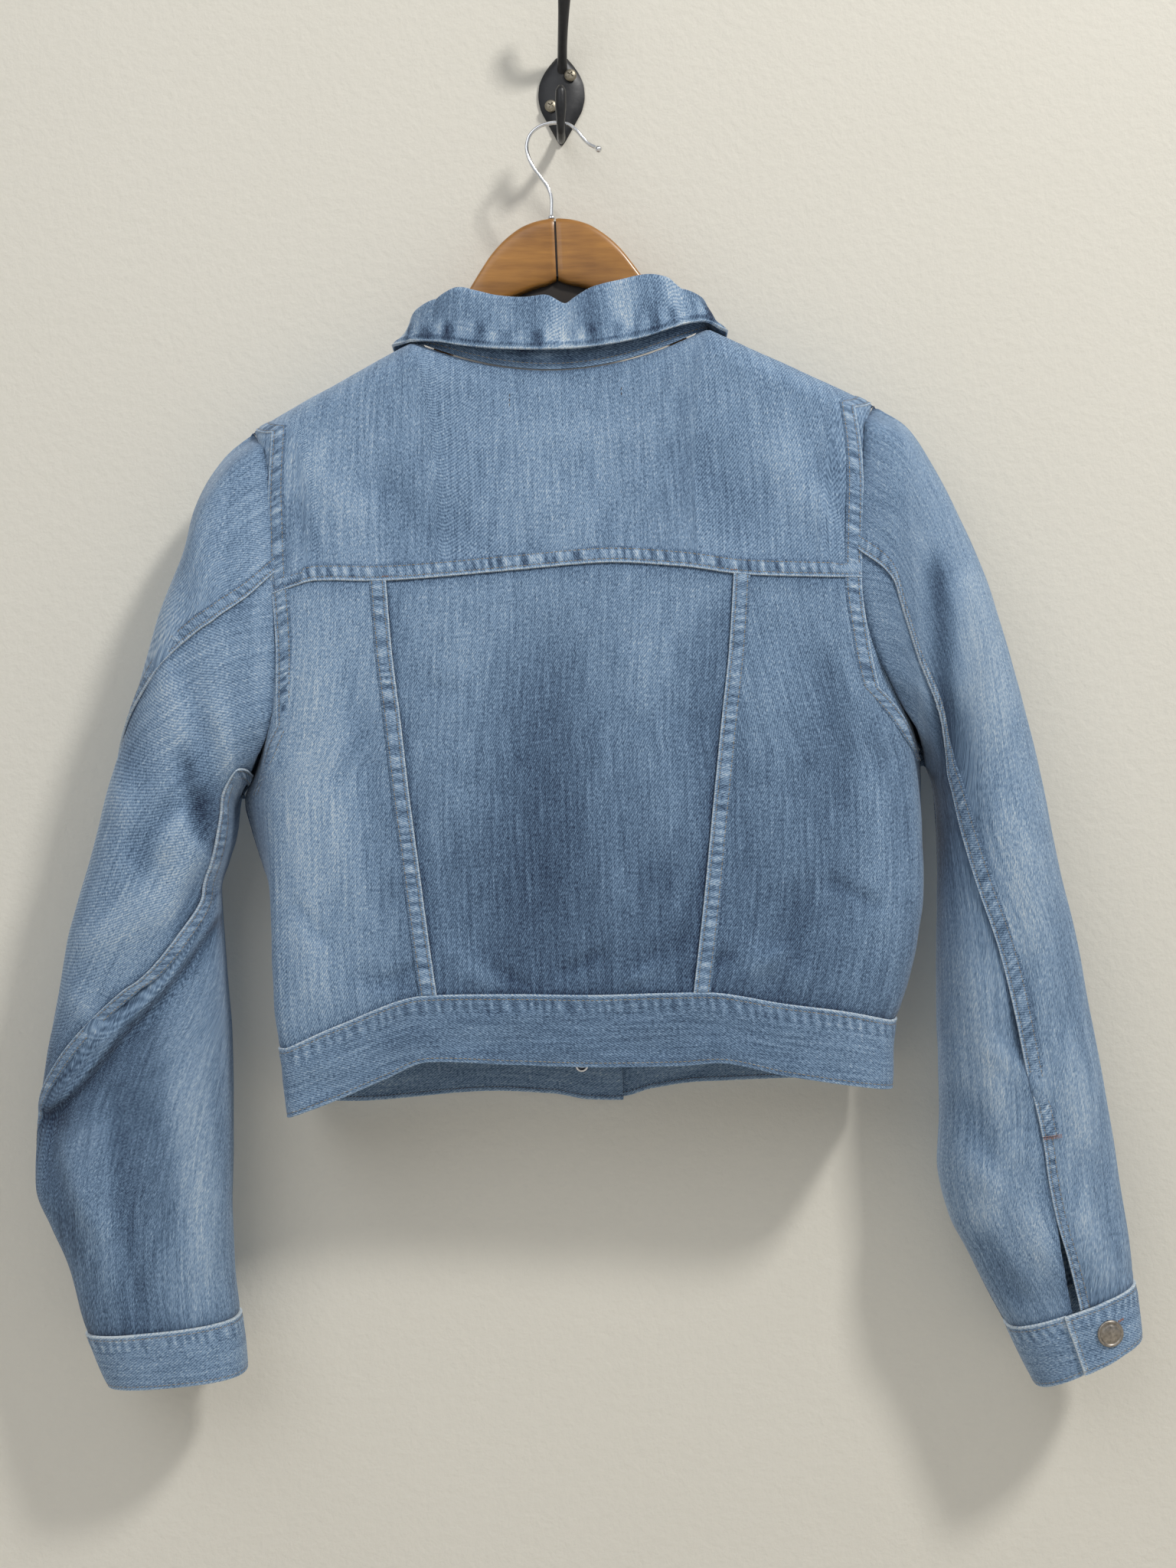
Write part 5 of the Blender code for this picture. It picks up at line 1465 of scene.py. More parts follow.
@dataclass
class Waistband:
    """The band round the hem with its laps, its stitches and its inside."""
    shop: Shop
    reach: float = 0.103

    def surface(self, turn: Array, v: Array) -> Array:
        """The band: turn 0..1 right front, 1..3 back, 3..4 left front, with both ends lapped."""
        turn, v = np.broadcast_arrays(np.asarray(turn, float), np.asarray(v, float))
        out = np.zeros(turn.shape + (3,))
        kept = np.clip(turn, 0.0, 4.0)
        for pick, zone, share in ((kept < 1, BAND_FRONT, kept + 1e-6),
                                  ((kept >= 1) & (kept <= 3), BAND_BACK, 2 - kept),
                                  (kept > 3, BAND_FRONT, kept - 4 - 1e-6)):
            if pick.any():
                out[pick] = zone.point(share[pick], v[pick])
        for pick, side in ((turn < 0, 1), (turn > 4, -1)):
            if pick.any():
                past = np.where(turn < 0, -turn, turn - 4)[pick]
                x = -side * past * 195.0
                z = lerp(BAND_FRONT.top(x), BAND_FRONT.low(x), v[pick])
                if side < 0:
                    z = z - 2.0 * held(x / 20.0)
                out[pick] = np.stack((x, along(FRONT_DEPTH, "drop", "y", -z) + side * LAP, z), axis=-1)
        out[..., 1] += np.where(turn < 0.2, 0.5, np.where(turn > 3.8, -0.5, 0.0))
        return out

    def build(self) -> None:
        """Makes the band and sews its edges, outside and inside."""
        surface = lambda a, b: self.surface(lerp(-self.reach, 4 + self.reach, a), b)

        def puckers(g: Grid) -> Array:
            """The wave of the puckers along the band."""
            return np.sin(g.u * 2 * math.pi / 7.2 + 2.6 * swell(g.u[..., None], 40, 77) + 0.1 * g.v)

        def relief(g: Grid) -> Array:
            """A cord at the top, puckers below it and shallow waves over the rest."""
            v, low, wave = g.v, g.low, puckers(g)
            height = 0.75 + 0.3 * bell(v, 0.4, 1.2) - 0.3 * bell(v, 2.6, 0.9)
            height = height + 0.30 * wave * np.sin(math.pi * held((v - 1.5) / 11))
            height = height + 0.55 * swell(g.p, 42, 78, (1, 1, 0.5)) * rise(v, 4, 14) * rise(low, 1, 8)
            return height - 0.25 * bell(low, 2.6, 0.9) + 0.12 * bell(low, 0, 1)

        def tones(g: Grid, _: Array) -> Pair:
            """Worn paleness on the cord and the lower edge and, with painted highlight, on the puckers'
            crests; painted shade between the puckers and in the grooves; darker across the back's middle.
            """
            p, v, low, wave = g.p, g.v, g.low, puckers(g)
            band = np.sin(math.pi * held((v - 1) / 12))
            wear = 0.95 * bell(v, 0, 1.0) + 0.45 * held(wave) * band + 0.4 * bell(low, 0, 1.0)
            shade = 0.35 * held(-wave) * band + 0.25 * bell(v, 2.8, 0.8) + 0.2 * bell(low, 2.6, 0.8)
            shade = shade + 0.30 * np.exp(-((p[..., 0] - 5) / 150) ** 4) * (p[..., 1] < -50)
            return held(wear), held(shade)
        sheet = Sheet("waistband_cloth", surface, 420, 22, 1, BAND, relief, tones, Way.ACROSS, edge=0.5)
        laid = self.shop.cloth(sheet, "waistband", rests=("yoke",))
        t = np.linspace(0, 1, 600)
        for b in (0.065, 0.94):
            self.shop.sew("waistband", *laid.read(t, b))
        for b in (0.94, 0.065):
            points, normals = laid.read(t, b, -(BAND + 0.35))
            self.shop.sew("waistband_inside", points, -normals, Thread.BROWN, 2.2)


@dataclass
class Collar:
    """The stand and the fall of the shirt collar."""
    shop: Shop
    reach: float = 0.985

    def build(self) -> None:
        """Makes both and sews them."""
        turn = lambda a: lerp(-self.reach, self.reach, a)
        short = lambda g: 0.3 * swell(g.laid_flat(0.4), 9, 81) * np.sin(math.pi * g.b)
        # Raised cloth and the neck seam's edge are worn pale, the raised cloth with painted highlight;
        # painted shade lies over the whole stand under the fall and deeper in its dips.
        tones = lambda g, h: (held(h) * 0.9 + 0.4 * bell(g.b, 0, 0.06),
                              0.40 + held(-h) * 0.8)
        sheet = Sheet("stand_cloth", lambda a, b: stand(turn(a), b), 240, 14, 1, COLLAR_CLOTH, short, tones,
                      Way.ACROSS)
        laid = self.shop.cloth(sheet, "collar_stand", rests=("yoke",))
        t = np.linspace(0, 1, 400)
        self.shop.sew("collar", *laid.read(t, 0.12))

        dents = lambda g: swell(g.laid_flat(0.35), 30, 83)
        puckers = lambda g: swell(g.laid_flat(0.25), 9.5, 84)

        def relief(g: Grid) -> Array:
            """Broad dents over the roll, short puckers above the stitched edge."""
            low = g.low
            height = 0.55 * dents(g) * rise(g.b, 0.3, 0.5) * rise(low, 1, 7)
            height += 0.32 * puckers(g) * bell(low, 7, 5)
            return height - 0.4 * bell(low, FALL_ROW, 0.8) + 0.15 * bell(low, 1, 1.2)

        def shades(g: Grid, _: Array) -> Pair:
            """Worn pale edge; worn paleness with painted highlight on the crests and the tops of the broad
            dents; painted shade in the dips and along the stitched groove.
            """
            low, lump, broad = g.low, puckers(g), dents(g)
            near = bell(low, 8, 7)
            wear = 0.8 * bell(low, 0, 0.9) + 0.75 * held(lump) * near + 0.45 * held(broad)
            shade = 0.85 * held(-lump) * near + 0.34 * held(-broad)
            shade = shade + 0.6 * bell(low, FALL_ROW, 0.7)
            return held(wear), held(shade)
        sheet = Sheet("fall_cloth", lambda a, b: fall(turn(a), b), 280, 56, 1, COLLAR_CLOTH, relief, shades,
                      edge=0.6)
        laid = self.shop.cloth(sheet, "collar_fall", rests=("yoke",))
        rows = np.linalg.norm(np.diff(laid.points, axis=0), axis=-1).sum(axis=0).mean()
        self.shop.sew("collar", *laid.read(t, 1 - FALL_ROW / rows))


LEFT_FOLDS = creases(
    (-262, -120, -236, -255, 14, 1.6, 5), (-285, -200, -262, -330, 12, -1.6, 4),
    (-300, -250, -240, -320, 13, 2.0), (-250, -300, -318, -360, 12, 1.8, -6),
    (-232, -330, -300, -400, 8, -1.6, -4), (-330, -380, -300, -420, 9, 1.6),
    (-345, -440, -330, -560, 10, -1.8, 4), (-320, -450, -300, -580, 14, 1.8, 4),
    (-280, -400, -268, -560, 12, -1.6, 3), (-258, -420, -250, -590, 12, 1.7),
    (-225, -200, -216, -262, 7, 1.4), (-250, -170, -228, -240, 8, -1.2),
    (-246, -232, -234, -300, 6, -4.0, 3), (-236, -240, -262, -300, 7, 2.6, -3),
    (-240, -262, -285, -300, 8, -2.4, 4), (-238, -280, -272, -345, 9, 2.6, -5),
    (-240, -300, -258, -350, 7, -2.2, -3), (-296, -440, -290, -600, 9, -2.2, 5),
    (-236, -440, -240, -600, 8, -1.8, -3), (-338, -470, -312, -540, 8, 2.2, 3))
RIGHT_FOLDS = creases(
    (240, -130, 262, -260, 15, 1.8, -5), (228, -210, 250, -330, 9, -1.8, -4),
    (262, -280, 284, -420, 14, 1.6, -5), (296, -340, 306, -470, 10, -1.4),
    (238, -380, 252, -500, 10, 1.6, -3), (230, -470, 262, -560, 10, -2.0, -5),
    (262, -500, 240, -560, 9, 1.8), (232, -510, 288, -590, 10, 2.0, -5), (318, -480, 326, -590, 9, -1.5),
    (300, -540, 322, -600, 10, 1.7), (226, -255, 240, -300, 7, 1.6), (244, -150, 240, -230, 9, 2.4, 4),
    (282, -380, 266, -470, 8, -2.2, 4), (246, -440, 284, -480, 8, 2.0, -4),
    (300, -430, 318, -520, 9, 2.2, 4), (240, -560, 270, -610, 8, -2.4, 3))


@dataclass
class Arm:
    """One sleeve with its two lengthwise seams and its cuff.

    Attributes:
        shop: where it is dressed.
        side: -1 left, 1 right.
    """
    shop: Shop
    side: int
    last: float = 16.0
    slit_top: float = 11.6
    hole: float = 0.895

    def seam(self, name: str, which: str, toward: int, start: float = 0.0, end: float = 16.0,
             wide: float = SEAM_WIDE) -> Laid:
        """A felled strip along one lengthwise seam, between two steps."""
        path = lambda t: (seam_angle(self.side, which, lerp(start, end, t)), lerp(start, end * 0.999, t))
        surface = lambda angle, step: sleeve_point(self.side, angle, np.clip(step, 0, self.last))
        return self.shop.seam(Felled(f"{name}_{tag(self.side)}", path, 0, toward, surface,
                                     self.side * toward * -1, 36.6 * (end - start), wide,
                                     seed=70 + self.side, pucker=0.8, mirror=self.side > 0, base=0.1),
                              f"sleeve_{tag(self.side)}")

    def panel(self, name: str, node: str, start: Callable, stop: Callable, wide: float, seed: int,
              extras: Sequence[Laid], under: float) -> Laid:
        """A sleeve panel between two seams given as functions of the step."""
        rows = LEFT_FOLDS if self.side < 0 else RIGHT_FOLDS

        def surface(a: Array, b: Array) -> Array:
            """The panel over its shares."""
            step = b * self.last
            return sleeve_point(self.side, lerp(start(step), stop(step), a), step)

        def facing(a: Array, b: Array) -> Array:
            """How much the place faces the room or the wall: folds are laid on both."""
            step = b * self.last
            return np.abs(np.sin(np.radians(lerp(start(step), stop(step), a)))) ** 0.8
        base, shade = softly((), seed, 0.55, 55, (1, 1, 1.8)), worn_and_painted_shading(rows)
        relief = lambda g: (base(g) + folds(rows, g.p) * facing(g.a, g.b) * rise(g.v, 0, 12)
                            - under - 1.0 * bell(g.v, 0, 3))

        def tones(g: Grid, h: Array) -> Pair:
            """The usual worn paleness and painted shade; on the left sleeve, a painted dark line just above
            the long slanting fold, painted shade in the recess below it and a painted shadow in the armpit.
            """
            p = g.p
            wear, dark = shade(g, h)
            if self.side > 0:
                return wear, dark
            # Left sleeve: painted shade in the recess below the slanting fold, a painted dark line just above
            # it, and a painted shadow in the armpit.
            below = twist_line(p[..., 0]) - p[..., 2] - TWIST_BAND
            room = (p[..., 1] < -52) & (p[..., 0] < -214)
            dark = dark + room * 0.85 * rise(below, 0, 5) * np.exp(-np.clip(below - 3, 0, None) / 12.0)
            dark = dark + room * 0.5 * bell(below, -TWIST_BAND - 1.5, 1.2)
            painted_armpit_shadow = np.exp(-((p[..., 0] + 236) / 9) ** 2 - ((p[..., 2] + 262) / 26) ** 2)
            return held(wear), np.clip(dark + room * 0.9 * painted_armpit_shadow, -1, 1)
        sheet = Sheet(name, surface, int(wide / 2.7), 215, self.side, CLOTH, relief, tones,
                      mirror=self.side > 0)
        return self.shop.cloth(sheet, node, extras)

    def build(self) -> None:
        """Makes the two panels, the seams and the cuff."""
        side, name = self.side, tag(self.side)
        back = lambda k: seam_angle(side, "seam_back", k)
        under = lambda k: seam_angle(side, "seam_under", k)
        strips = [self.seam("sleeve_seam", "seam_back", -1, end=self.slit_top)]
        strips.append(self.seam("slit_hem", "seam_back", -1, start=self.slit_top, wide=6.0))
        top = self.panel(f"top_sleeve_{name}", f"sleeve_top_{name}", lambda k: under(k) - 360.0, back, 250,
                         90 + side, strips, 0.0)
        for offset in (-0.0012, 0.0, 0.0012):
            across = np.linspace(0.955, 0.999, 8)
            self.shop.sew("cuffs", *top.read(across, self.slit_top / self.last + offset, 1.4),
                                 Thread.RUST, 1.0)
        low = self.seam("underarm_seam", "seam_under", -1 if side > 0 else 1)
        self.panel(f"under_sleeve_{name}", f"sleeve_under_{name}", lambda k: back(k) + 0.25 * slit(k), under,
                   125, 95 + side, [low], 0.4)
        self.cuff()

    def cuff(self) -> None:
        """The cuff, its lapped end, its stitches and the buttonhole's bar."""
        side, name, meet = self.side, tag(self.side), CUFF_MEET[self.side]

        def surface(a: Array, b: Array) -> Array:
            """The cuff over its shares."""
            return ring_point(CUFF[side], 2 * b, meet + lerp(-3.0, 359.1, a))

        def puckers(g: Grid) -> Array:
            """The wave of the puckers round the cuff."""
            return np.sin(g.u * 2 * math.pi / 6.8 + 2.4 * swell(g.u[..., None], 36, 88 + side))

        def relief(g: Grid) -> Array:
            """A cord at the top, puckers under it, and the end that carries the button lifted."""
            v, low, wave = g.v, g.low, puckers(g)
            height = 0.7 + 0.28 * bell(v, 0.4, 1.1) - 0.28 * bell(v, 2.4, 0.8) - 0.25 * bell(low, 2.4, 0.8)
            height = height + 0.26 * wave * np.sin(math.pi * held((v - 1.5) / 10))
            height = height + 0.5 * swell(g.p, 34, 86 + side) * rise(v, 3, 10) * rise(low, 1, 6)
            return height + 1.9 * rise(g.a, 0.90, 0.955) - 0.5 * bell(g.a, 0, 0.03)

        def tones(g: Grid, _: Array) -> Pair:
            """Worn pale edges and lapped end, and, with painted highlight, pale crests; painted shade in the
            dips and the stitched grooves.
            """
            v, low, wave = g.v, g.low, puckers(g)
            band = np.sin(math.pi * held((v - 1) / 11))
            wear = 0.95 * bell(v, 0, 0.9) + 0.4 * held(wave) * band + 0.5 * bell(low, 0, 0.9)
            wear = wear + bell(g.ends, 0, 0.006)
            shade = 0.32 * held(-wave) * band + 0.22 * bell(v, 2.6, 0.7) + 0.2 * bell(low, 2.4, 0.7)
            return held(wear), held(shade)
        sheet = Sheet(f"cuff_cloth_{name}", surface, 170, 20, side, BAND, relief, tones, Way.ACROSS, edge=0.5)
        laid = self.shop.cloth(sheet, f"cuff_{name}", rests=(f"top_sleeve_{name}",))
        t = np.linspace(0, 1, 300)
        for b in (0.07, 0.93):
            self.shop.sew("cuffs", *laid.read(t, b))
        b = np.linspace(0.07, 0.93, 40)
        self.shop.sew("cuffs", *laid.read(0.990, b))
        for offset in (-0.012, 0.0, 0.012):
            bar = self.hole + np.linspace(-0.010, 0.010, 6)
            self.shop.sew("cuffs", *laid.read(bar, 0.40 + offset), Thread.RUST, 1.0)


# ------------------------------------------------------------------ turned and swept pieces
def turned(profile: Sequence[tuple[float, float]], centre: Array, axis: Array,
           steps: int = 40) -> BMesh:
    """A turned shape: profile of (radius, distance) from the axis at its back to the axis at its front.

    Args:
        profile: the outline, in millimetres.
        centre: where distance 0 lies, in metres of the plate's frame.
        axis: the way it faces.
        steps: how many steps round it.
    Returns:
        A closed bmesh in metres.
    """
    bm = bmesh.new()
    verts = [bm.verts.new((r * MM, 0.0, d * MM)) for r, d in profile]
    edges = [bm.edges.new(pair) for pair in zip(verts, verts[1:])]
    bmesh.ops.spin(bm, geom=verts + edges, cent=(0, 0, 0), axis=(0, 0, 1), angle=2 * math.pi,
                   steps=steps, use_merge=True)
    bmesh.ops.remove_doubles(bm, verts=bm.verts, dist=1e-6)
    bmesh.ops.recalc_face_normals(bm, faces=bm.faces)
    turn = Vector((0, 0, 1)).rotation_difference(Vector(axis)).to_matrix().to_4x4()
    bmesh.ops.transform(bm, matrix=Matrix.Translation(Vector(centre)) @ turn, verts=bm.verts)
    return bm


def swept(path: Array, radii: Array, across: int = 20, down: int = 120,
          power: float = 1.0) -> BMesh:
    """A closed rod along a smooth path: a grid rolled into a tube, with its ends gathered.

    Args:
        path: points the rod follows, in metres.
        radii: half width and half depth at each point.
        across: steps round it.
        down: steps along it.
        power: below 1 for a squarer section.
    Returns:
        A closed bmesh in metres.
    """
    knots = np.concatenate(([0.0], np.cumsum(np.linalg.norm(np.diff(path, axis=0), axis=1))))
    knots /= knots[-1]
    bm, flat = square(across, down)
    t, round_it = (flat[:, 1] + 1) / 2, (flat[:, 0] + 1) * math.pi
    curve = lambda s: np.stack([glide(knots, path[:, i], s) for i in range(3)], axis=-1)
    way = unit(curve(held(t + 0.004)) - curve(held(t - 0.004)))
    deep = np.array([0.0, 1.0, 0.0]) - way * way[:, 1:2]
    deep = np.where(np.linalg.norm(deep, axis=1, keepdims=True) < 0.25, np.array([0.0, 0.0, 1.0]), deep)
    deep = unit(deep)
    wide = np.cross(way, deep)
    bend = lambda value: np.sign(value) * np.abs(value) ** power
    r = [glide(knots, radii[:, i], t)[:, None] for i in range(2)]
    points = curve(t) + wide * r[0] * bend(np.cos(round_it))[:, None]
    points = points + deep * r[1] * bend(np.sin(round_it))[:, None]
    carry(bm, points)
    return gathered(bm)


def cad_middle(node: str) -> Vector:
    """The middle of a CAD node's box."""
    low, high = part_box(node)
    return (Vector(low) + Vector(high)) / 2


@dataclass
class Buttons:
    """Shank buttons on the front, the waistband and the cuffs, and the tack's back inside."""
    shop: Shop
    profile: tuple = ((0, -0.1), (3.8, -0.1), (4.2, 0.8), (7.6, 0.9), (8.3, 1.1), (8.6, 1.6), (8.4, 2.1),
                      (7.8, 2.5), (7.2, 2.55), (6.8, 2.3), (6.5, 1.95), (5.6, 2.0), (5.2, 2.3), (4.4, 2.5),
                      (2.6, 2.75), (0, 2.85))

    def one(self, node: str, axis: Array) -> None:
        """One button where its CAD node lies."""
        low, high = (Vector(c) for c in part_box(node))
        half = abs(Vector(axis).normalized().dot(high - low)) / 2
        depth = 1.5 * MM
        centre = cad_middle(node) - Vector(axis).normalized() * min(half, depth)
        bm = turned(self.profile, centre, axis)
        piece = finished(f"{node}_turned", bm, self.shop.finish["pewter"])
        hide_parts(node)

    def build(self) -> None:
        """Makes them all."""
        for name in sorted(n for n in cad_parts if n.startswith("front_button") or n == "waist_button"):
            self.one(name, np.array([0.0, 1.0, 0.0]))
        for side, angle in CUFF_BUTTON.items():
            at = lambda a, k: place(ring_point(CUFF[side], np.array(k), np.array(a)))
            normal = unit(np.cross(at(angle + 1, 1.0) - at(angle - 1, 1.0),
                                   at(angle, 1.05) - at(angle, 0.95)))
            self.one(f"cuff_button_{tag(side)}", normal * side)
        bm = turned(((0, 0), (4.0, 0), (4.3, 0.35), (4.25, 0.8), (3.7, 1.15), (3.0, 1.1), (2.6, 0.75),
                     (1.2, 0.7), (0.9, 0.95), (0, 1.0)), cad_middle("waist_tack") + Vector((0, 0.0006, 0)),
                    np.array([0.0, -1.0, 0.0]))
        piece = finished("tack_back_turned", bm, self.shop.finish["tack"])
        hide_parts("waist_tack")


@dataclass
class Hanger:
    """The wooden hanger in two halves, with its wire hook."""
    shop: Shop

    def half(self, side: int) -> None:
        """One half: a board with rounded edges that narrows to the shoulder."""
        bm, flat = square(40, 110)
        first, final = HANGER["x"][0], HANGER["x"][-1]
        inset = np.clip(np.minimum((flat[:, 1] + 1) / 2 * (final - first), 1.2) / 1.2, 0, 1)
        x = lerp(first, final, (flat[:, 1] + 1) / 2)
        turn = (flat[:, 0] + 1) * math.pi
        soft = 0.42
        sx = np.sign(np.sin(turn)) * np.abs(np.sin(turn)) ** soft
        cy = np.sign(np.cos(turn)) * np.abs(np.cos(turn)) ** soft
        top, high, deep = (along(HANGER, "x", n, x) for n in ("top", "high", "deep"))
        shrink = 0.9 + 0.1 * np.sqrt(1 - (1 - inset) ** 2)
        points = np.stack((side * x, RIDGE_Y + deep * cy * shrink, top - high / 2 + high / 2 * sx * (
            0.985 + 0.015 * np.sqrt(1 - (1 - inset) ** 2))), axis=-1)
        carry(bm, place(points))
        piece = finished(f"wood_{tag(side)}", gathered(bm), self.shop.finish["wood"], 50)
        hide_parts(f"hanger_{tag(side)}")

    def build(self) -> None:
        """Makes both halves, the wire, its tip and its collar."""
        for side in (-1, 1):
            self.half(side)
        joint = place(np.array([(0, RIDGE_Y, z) for z in (66, 78, 90, 102)]))
        bm = swept(joint, np.array([(1.3, 4.2), (1.3, 4.8), (1.3, 4.8), (1.2, 4.4)]) * MM, 16, 12, 0.5)
        piece = finished("wood_joint", bm, self.shop.finish["stain"])
        # A nearly black bow between the halves: painted shade that stands for the hanger's underside seen
        # below the notch.
        bow = place(np.array([(x, RIDGE_Y + 2.0, 55.0 - 0.006 * x * x) for x in (-36, -18, 0, 18, 36)]))
        bm = swept(bow, np.array([(7.0, 1.6), (9.5, 2.0), (10.5, 2.0), (9.5, 2.0), (7.0, 1.6)]) * MM,
                   16, 12, 0.5)
        piece = finished("wood_web", bm, self.shop.finish["stain"])
        path = np.array([(x, RIDGE_Y, z) for x, z in WIRE]) * MM
        radii = np.full((len(path), 2), 1.25 * MM)
        bm = swept(path, radii, 18, 220)
        piece = finished("wire_bent", bm, self.shop.finish["chrome"])
        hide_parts("hanger_wire")
        tip = turned(((0, 0), (1.3, 0.1), (1.9, 0.8), (2.3, 1.9), (2.2, 2.9), (1.6, 3.8), (0, 4.2)),
                     np.array([22.9, RIDGE_Y, -41.7]) * MM, np.array([0.87, 0, -0.45]), 24)
        piece = finished("wire_tip_turned", tip, self.shop.finish["chrome"], 80)
        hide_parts("wire_tip")
        ring = turned(((0, 0), (2.5, 0), (2.65, 0.3), (2.6, 1.3), (2.0, 2.1), (1.3, 2.2), (0, 2.2)),
                      np.array([-6.2, RIDGE_Y, -88.6]) * MM, np.array([0, 0, 1]), 24)
        piece = finished("wire_collar_turned", ring, self.shop.finish["chrome"], 40)
        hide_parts("wire_collar")


@dataclass
class WallHook:
    """The cast plate with its two prongs and its two cross-head screws."""
    shop: Shop
    lower: tuple = ((0.0, -2.6, -20.0), (0.0, -11.0, -27.6), (0.0, -20.0, -31.0), (0.0, -29.0, -31.8),
                    (0.0, -35.2, -30.9), (0.0, -40.2, -25.8), (0.0, -42.8, -16.0), (0.0, -43.5, -8.0),
                    (0.0, -42.8, -4.2))
    lower_sizes: tuple = ((2.6, 2.2), (2.8, 3.6), (2.7, 3.8), (2.6, 3.6), (2.6, 3.4), (2.8, 3.4),
                          (3.6, 3.7), (3.4, 3.4), (1.6, 1.6))
    upper: tuple = ((0.5, -2.8, 18.5), (0.7, -13.0, 30.5), (1.1, -22.0, 38.0), (1.7, -31.0, 46.0),
                    (2.3, -38.5, 55.0), (2.8, -43.5, 65.0), (3.1, -45.6, 74.0), (3.2, -46.0, 79.0))
    upper_sizes: tuple = ((3.3, 2.4), (3.2, 4.0), (3.3, 4.2), (3.6, 4.0), (4.2, 4.2), (4.8, 4.8),
                          (4.6, 4.6), (2.2, 2.2))
    screws: tuple = ((6.0, 16.0), (-7.0, -4.6))

    def face(self, t: Array, z: Array) -> Array:
        """The plate's front, over its share across and its height, in metres."""
        half, thick = along(PLATE, "z", "half", z), along(PLATE, "z", "thick", z)
        proud = 0.9 + (thick - 0.9) * (1 - np.abs(t) ** 2.2)
        return np.stack((t * half, -proud, z), axis=-1) * MM

    def build(self) -> None:
        """Makes the casting as one piece, then the screws."""
        bm, flat = square(36, 60)
        points = self.face(flat[:, 0], lerp(PLATE["z"][0], PLATE["z"][-1], (flat[:, 1] + 1) / 2))
        carry(bm, points)
        rim = [e for e in bm.edges if e.is_boundary]
        skirt = bmesh.ops.extrude_edge_only(bm, edges=rim)["geom"]
        for vert in (g for g in skirt if isinstance(g, bmesh.types.BMVert)):
            vert.co.y = 0.0
        bmesh.ops.holes_fill(bm, edges=bm.edges, sides=0)
        bmesh.ops.recalc_face_normals(bm, faces=bm.faces)
        for path, sizes in ((self.lower, self.lower_sizes), (self.upper, self.upper_sizes)):
            absorb(bm, swept(np.array(path) * MM, np.array(sizes) * MM, 28, 90))
        piece = finished("hook_cast", bm, self.shop.finish["iron"], 50)
        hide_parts("wall_hook")
        for index, (x, z) in enumerate(self.screws):
            half = along(PLATE, "z", "half", np.array(z))
            front = self.face(np.array(x / float(half)), np.array(float(z)))[1]
            self.screw(index + 1, Vector((x * MM, float(front) - 1.2 * MM, z * MM)))

    def screw(self, number: int, centre: Vector) -> None:
        """A domed head with a cross recess cut into it."""
        dome = turned(((0, 0), (3.9, 0), (4.15, 0.25), (3.9, 0.9), (3.1, 1.5), (1.8, 1.95), (0, 2.1)),
                      centre, np.array([0.0, -1.0, 0.0]), 48)
        piece = finished(f"screw_{number}_head", dome, self.shop.finish["brass"], 35)
        cutter = bmesh.new()
        for turn in (0.55, 0.55 + math.pi / 2):
            at = Matrix.Translation(centre + Vector((0, -2.0 * MM, 0)))
            size = Matrix.Diagonal(Vector((4.4, 2.0, 0.95, 1000.0)) * MM)
            bmesh.ops.create_cube(cutter, size=1.0, matrix=at @ Matrix.Rotation(turn, 4, "Y") @ size)
        tool = linked("cross", to_mesh("cross", cutter))
        cut = piece.modifiers.new("cross", "BOOLEAN")
        cut.operation, cut.object, cut.solver, cut.use_self = "DIFFERENCE", tool, "EXACT", True
        done = bpy.data.meshes.new_from_object(piece.evaluated_get(bpy.context.evaluated_depsgraph_get()))
        piece.modifiers.clear()
        piece.data = done
        bpy.data.objects.remove(tool, do_unlink=True)
        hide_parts(f"screw_{number}")


